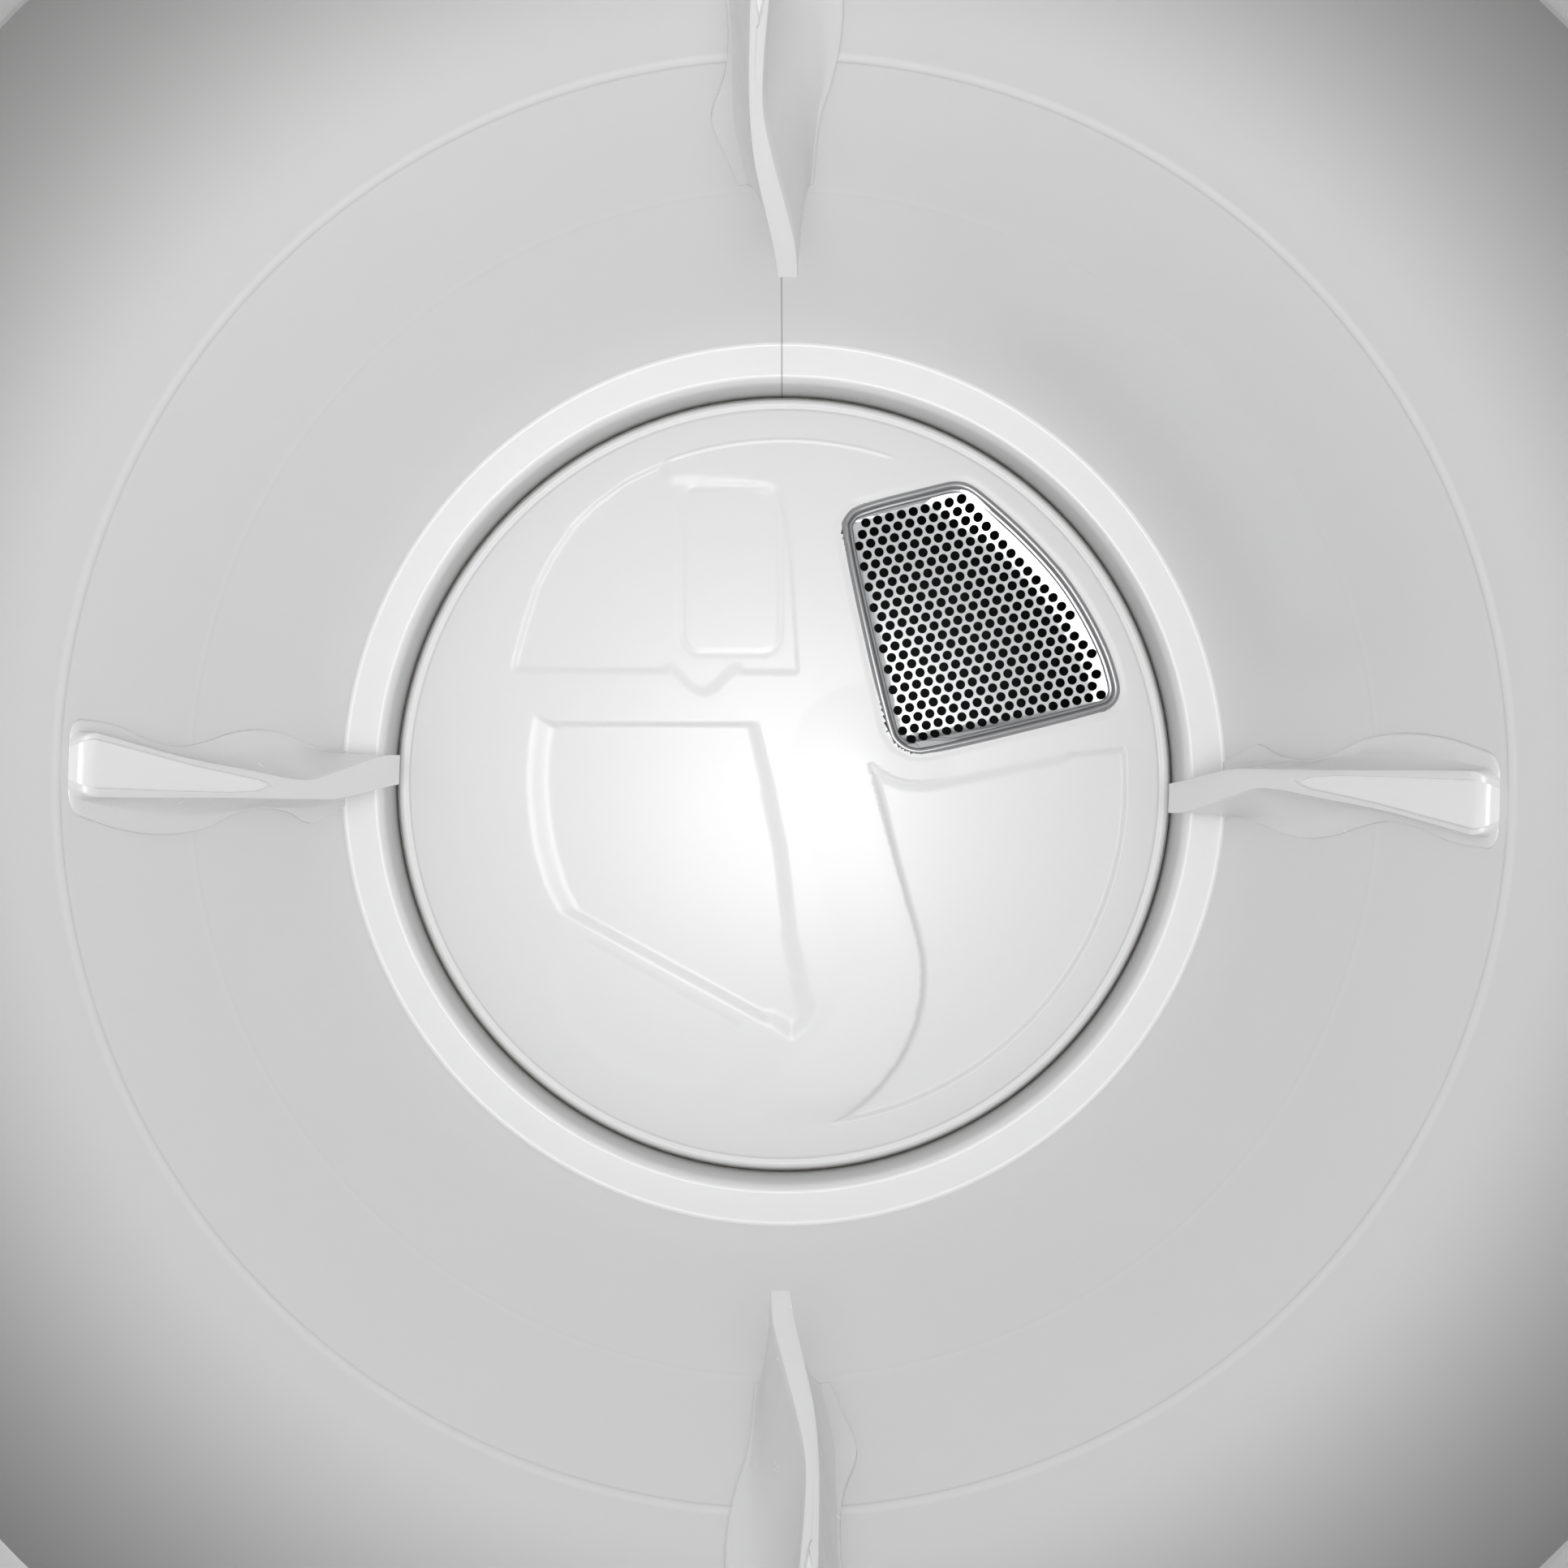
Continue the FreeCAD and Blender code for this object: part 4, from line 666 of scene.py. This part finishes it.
# Along the baffle from its front: the share of its length, the foot's lower edge, the lower
# root, the crest's two edges, the upper root and the foot's upper edge, in millimetres round
# the drum.
BAFFLE_STATIONS = [
    (0.00, -13.0, -6.5, -6.0, 24.5, 25.0, 30.0), (0.11, -21.7, -12.0, -6.8, 18.9, 22.0, 28.0),
    (0.19, -25.4, -16.3, -7.2, 15.0, 19.5, 22.6), (0.29, -26.6, -17.8, -7.6, 11.2, 15.5, 20.2),
    (0.385, -24.0, -17.2, -8.0, 8.3, 14.3, 24.6), (0.45, -19.4, -16.2, -8.5, 6.0, 18.3, 29.3),
    (0.515, -16.5, -15.6, -9.0, 3.8, 22.0, 32.2), (0.605, -15.6, -14.8, -9.6, 2.9, 24.9, 33.5),
    (0.70, -18.6, -15.2, -9.8, 8.1, 26.0, 31.5), (0.805, -26.9, -16.0, -6.6, 14.9, 24.6, 26.5),
    (0.90, -22.0, -14.0, -3.0, 20.2, 23.5, 25.0), (1.00, -16.0, -11.0, 0.2, 21.4, 22.8, 24.5)]
# The sunk panel in the crest: share of the length and its two edges.
PANEL_STATIONS = [(0.0, -1.8, 21.6), (0.11, -2.9, 16.4), (0.225, -4.0, 10.7),
                  (0.385, -4.5, 4.3), (0.425, -3.9, 2.7), (0.462, -0.8, -0.2)]
PANEL_END = 0.462
FOOT_LIP = 1.7
PANEL_SINK = 1.6
END_ROUNDING = 6.0
CREST_EDGE = 0.8
SIDE_SHARES = np.linspace(0, 1, 11)[:-1]


def eased(stations, share):
    """The stations' values at one share of the length, eased through each station."""
    shares = [row[0] for row in stations]
    rows = np.array([row[1:] for row in stations], float)
    slopes = np.gradient(rows, shares, axis=0)
    index = min(max(np.searchsorted(shares, share) - 1, 0), len(shares) - 2)
    width = shares[index + 1] - shares[index]
    s = (share - shares[index]) / width
    return (rows[index] * (2 * s ** 3 - 3 * s ** 2 + 1)
            + slopes[index] * width * (s ** 3 - 2 * s ** 2 + s)
            + rows[index + 1] * (3 * s ** 2 - 2 * s ** 3)
            + slopes[index + 1] * width * (s ** 3 - s ** 2))


def baffle_side(foot, root, crest, rise):
    """One side from the wall up to the crest: foot edge, foot, fillet and flank."""
    inward = 1 if crest > foot else -1
    points = [(foot, 0.0), (foot + 0.15 * inward, FOOT_LIP * 0.75),
              (foot + 0.8 * inward, FOOT_LIP)]
    root = root if (root - foot) * inward > 1.4 else foot + 1.4 * inward
    points.append((foot + (root - foot) * 0.5, FOOT_LIP))
    flank = rise - FOOT_LIP - CREST_EDGE
    for s in SIDE_SHARES:
        bow = 1 - (1 - s) ** 2.2
        points.append((root + (crest - root) * (0.45 * s + 0.55 * bow),
                       FOOT_LIP + flank * s ** 1.35))
    return points + [(crest, rise - CREST_EDGE), (crest + 0.3 * inward, rise - 0.25)]


def baffle_section(share, rise, crest_scale, narrowing):
    """One cross-section as (distance round the drum, distance in from the wall)."""
    foot_low, root_low, crest_low, crest_high, root_high, foot_high = eased(
        BAFFLE_STATIONS, share)
    middle = (crest_low + crest_high) / 2
    crest_low = middle + (crest_low - middle) * crest_scale * narrowing
    crest_high = middle + (crest_high - middle) * crest_scale * narrowing
    points = baffle_side(foot_low, root_low, crest_low, rise)
    panel_low, panel_high = eased(PANEL_STATIONS, min(share, PANEL_END))
    panel_low = middle + (panel_low - middle) * crest_scale
    panel_high = middle + (panel_high - middle) * crest_scale
    sunk = PANEL_SINK if share < PANEL_END and panel_high - panel_low > 0.4 else 0.0
    if not sunk:
        panel_low, panel_high = crest_low * 0.6 + crest_high * 0.4, middle
    points += [(crest_low + 1.0, rise), (panel_low, rise), (panel_low + 0.25, rise - sunk),
               ((panel_low + panel_high) / 2, rise - sunk * 1.1),
               (panel_high - 0.5, rise - sunk * 0.9), (panel_high + 0.2, rise),
               (crest_high - 1.0, rise)]
    return points + baffle_side(foot_high, root_high, crest_high, rise)[::-1]


def baffle(name, turn, back, heights, crest_scale, shift, finish, lit_panel_finish, replaced):
    """A moulded baffle, swept along the drum and turned to its place round the wall."""
    length = DRUM_BACK - BAFFLE_FRONT
    shares = np.concatenate([[0.0, 0.001, 0.004, 0.009, 0.016, 0.022], np.linspace(0.03, 0.96, 90),
                             [0.972, 0.98, 0.987, 0.992, 0.996, 0.999, 1.0]])
    sweep = bmesh.new()
    rows, panel = [], set()
    spin = Matrix.Rotation(turn, 3, Vector((0, 1, 0)))
    for share in shares:
        nose = min((share * length / MM) / END_ROUNDING, 1.0)
        tail = min((1 - share) * length / MM / END_ROUNDING, 1.0)
        front = math.sqrt(1 - (1 - nose) ** 2)
        end = math.sqrt(1 - (1 - tail) ** 2)
        rise = heights[0] + (heights[1] - heights[0]) * share
        row = []
        points = baffle_section(share, rise, crest_scale, 0.45 + 0.55 * end)
        middle = (points[0][0] + points[-1][0]) / 2
        for across, height in points:
            across = middle + (across - middle) * (0.62 + 0.38 * front) + shift
            radius = DRUM_BORE - height * front * (0.5 + 0.5 * end) * MM - 0.05 * MM
            angle = across * MM / radius
            place = Vector((-radius * math.cos(angle), 0, radius * math.sin(angle)))
            place = spin @ place
            place.y = back - length * (1 - share)
            row.append(sweep.verts.new(AXIS + place))
        if share < PANEL_END:
            centre = len(row) // 2
            panel.update(row[centre - 1:centre + 2])
        rows.append([sweep.edges.new((a, b)) for a, b in zip(row, row[1:])])
    for one, other in zip(rows, rows[1:]):
        bmesh.ops.bridge_loops(sweep, edges=one + other)
    for face in sweep.faces:
        face.material_index = int(all(vert in panel for vert in face.verts))
    bmesh.ops.contextual_create(sweep, geom=rows[-1])
    bmesh.ops.remove_doubles(sweep, verts=sweep.verts, dist=0.001 * MM)
    bmesh.ops.recalc_face_normals(sweep, faces=sweep.faces)
    piece = add_piece(name, sweep, "drum", finish, [replaced])
    # The second slot holds the paler plastic of the sunk panel, painted light on that facet.
    piece.data.materials.append(lit_panel_finish.material)
    sharpen(piece, 32)


# ---- Materials of the CAD nodes ------------------------------------------------------------

NEAR_WHITE = (0.82, 0.82, 0.815)
panel_enamel = white_enamel("panel_enamel", NEAR_WHITE, 0.34)
stamped_enamel = white_enamel("stamped_enamel", (0.83, 0.83, 0.83), 0.34)
drum_coat = drum_enamel()
baffle_plastic = moulded_plastic("baffle_plastic", (0.84, 0.84, 0.84), 0.26)
# Painted light: the baffles' sunk crest panel gets a paler plastic so that facet reads as catching
# more light.
panel_plastic = moulded_plastic("panel_plastic", (0.93, 0.93, 0.93), 0.2)
white_plastic = moulded_plastic("white_plastic", (0.80, 0.80, 0.79), 0.42)
grey_plastic = moulded_plastic("grey_plastic", (0.30, 0.31, 0.32), 0.5)
knob_metal = rolled_metal("knob_finish", (0.72, 0.72, 0.73), 0.28, scratch=160.0)
bright_sheet = rolled_metal("bright_sheet", (0.64, 0.65, 0.66), 0.34, scratch=220.0)
rim_sheet = rolled_metal("rim_sheet", (0.42, 0.42, 0.43), 0.36, scratch=220.0)
zinc_sheet = galvanised()
heater_metal = dull_metal("heater_ribbon", (0.09, 0.075, 0.065), (0.20, 0.17, 0.15), 0.6)
spring_metal = rolled_metal("spring_steel", (0.45, 0.45, 0.47), 0.35)
motor_coat = dull_metal("motor_paint", (0.035, 0.036, 0.04), (0.08, 0.08, 0.09), 0.5)
# Painted shade: the heater duct behind the grille is made near black, standing in for the shade
# inside the duct.
stained_duct = dull_metal("stained_duct", (0.035, 0.034, 0.033), (0.075, 0.072, 0.07), 0.7)
display_glass = clear_glass("display_panel", (0.02, 0.025, 0.03), 0.12, 0.97)
door_pane = clear_glass("door_pane", (0.75, 0.78, 0.78), 0.05, 0.30)
window_tint = clear_glass("window_tint", (0.03, 0.032, 0.036), 0.07, 0.72)
NODE_FINISHES = {
    "white_enamel": panel_enamel, "zinc_steel": zinc_sheet, "grille_steel": bright_sheet,
    "white_plastic": white_plastic, "grey_plastic": grey_plastic, "knob_finish": knob_metal,
    "felt": wool_felt(), "rubber": black_rubber(), "element": heater_metal,
    "spring_steel": spring_metal, "motor_paint": motor_coat, "display": display_glass,
    "board": circuit_board(), "door_clear": door_pane, "door_tint": window_tint,
}


def dress_nodes():
    """Put each finish into the slots of the frame's own nodes."""
    for thing in bpy.data.objects:
        if thing.type != "MESH":
            continue
        for slot in thing.material_slots:
            name = slot.material.name.split(".")[0] if slot.material else ""
            if name in NODE_FINISHES:
                slot.material = NODE_FINISHES[name].material
                # The heater duct's zinc gets the near-black painted shade.
                if name == "zinc_steel" and "heater_duct" in thing.name:
                    slot.material = stained_duct.material


dress_nodes()


# ---- Pieces --------------------------------------------------------------------------------

drum_shell(drum_coat)
rear_bulkhead(stamped_enamel)
air_grille(bright_sheet)
grille_rim(rim_sheet)
# Each baffle's turn round the drum, back end, rises at its two ends, crest scale and shift.
SIDE_RISES, END_RISES, END_SHIFT = (9.0, 44.0), (9.0, 55.0), -8.5
baffle("baffle_left_moulding", 0.0, DRUM_BACK, SIDE_RISES, 1.0, 0.0,
       baffle_plastic, panel_plastic, "baffle_left")
baffle("baffle_right_moulding", math.pi, DRUM_BACK, SIDE_RISES, 1.0, 0.0,
       baffle_plastic, panel_plastic, "baffle_right")
baffle("baffle_top_moulding", math.pi / 2, FRONT_BAFFLE_BACK, END_RISES, 0.5, END_SHIFT,
       baffle_plastic, panel_plastic, "baffle_top")
baffle("baffle_bottom_moulding", -math.pi / 2, FRONT_BAFFLE_BACK, END_RISES, 0.5, END_SHIFT,
       baffle_plastic, panel_plastic, "baffle_bottom")


# ---- Stage ---------------------------------------------------------------------------------

CAMERA_PLACE = (0.0, -0.553, 0.585)
# Pieces lit by the lamps inside the drum; the room's lamps light all the others.
INSIDE_NAMES = ("drum_shell", "stamped_rear", "perforated_grille", "grille_rim", "baffle_",
                "rear_seal", "front_seal")


def floor():
    slab = bmesh.new()
    bmesh.ops.create_grid(slab, x_segments=1, y_segments=1, size=6.0)
    mesh = bpy.data.meshes.new("floor")
    slab.to_mesh(mesh)
    slab.free()
    finish = Finish("floor_finish", (0.72, 0.71, 0.69), 0.6)
    finish.colour(finish.mix(finish.noise(3.0), (0.70, 0.69, 0.67), (0.75, 0.74, 0.72)))
    mesh.materials.append(finish.material)
    slab_object = bpy.data.objects.new("floor", mesh)
    bpy.context.collection.objects.link(slab_object)


def lamp(name, place, aim, power, size, lit, spread=180):
    """A round soft light that falls only on the pieces of one collection."""
    light = bpy.data.lights.new(name, "AREA")
    light.energy = power
    light.shape = "DISK"
    light.size = size
    light.spread = math.radians(spread)
    carrier = bpy.data.objects.new(name, light)
    carrier.location = place
    direction = Vector(aim) - Vector(place)
    carrier.rotation_euler = direction.to_track_quat("-Z", "Y").to_euler()
    carrier.visible_camera = False
    carrier.light_linking.receiver_collection = lit
    bpy.context.collection.objects.link(carrier)


floor()
inside_drum = bpy.data.collections.new("inside_drum")
outside_drum = bpy.data.collections.new("outside_drum")
for thing in bpy.data.objects:
    if thing.type == "MESH":
        within = thing.name.startswith(INSIDE_NAMES)
        (inside_drum if within else outside_drum).objects.link(thing)
lamp("drum_key", (0.0, -0.70, 0.531), (0.0, 0.3, 0.531), 2.25, 0.40, inside_drum)
lamp("drum_wide", (0.0, -0.60, 0.585), (0.0, 0.3, 0.585), 3.4, 0.70, inside_drum)
lamp("rear_wash", (0.0, -0.10, 0.585), (0.0, 0.3, 0.585), 0.10, 0.30, inside_drum, 120)
lamp("room_left", (-2.6, -3.2, 2.6), (-0.1, 0, 0.5), 75, 1.6, outside_drum)
lamp("room_right", (3.0, -1.6, 2.2), (0.1, 0, 0.5), 50, 1.6, outside_drum)
lamp("room_back", (0.6, 3.2, 2.4), (0, 0, 0.5), 60, 1.8, outside_drum)

world = bpy.data.worlds.new("room")
world.use_nodes = True
world.node_tree.nodes["Background"].inputs["Color"].default_value = (0.92, 0.95, 1.0, 1.0)
world.node_tree.nodes["Background"].inputs["Strength"].default_value = 0.22
bpy.context.scene.world = world
bpy.context.scene.view_settings.view_transform = "Standard"

view = bpy.data.cameras.new("view")
view.lens = 25.0
view.sensor_width = 36.0
view.clip_start = 0.01
camera = bpy.data.objects.new("view", view)
camera.location = CAMERA_PLACE
camera.rotation_euler = (math.pi / 2, 0.0, 0.0)
bpy.context.collection.objects.link(camera)
bpy.context.scene.camera = camera
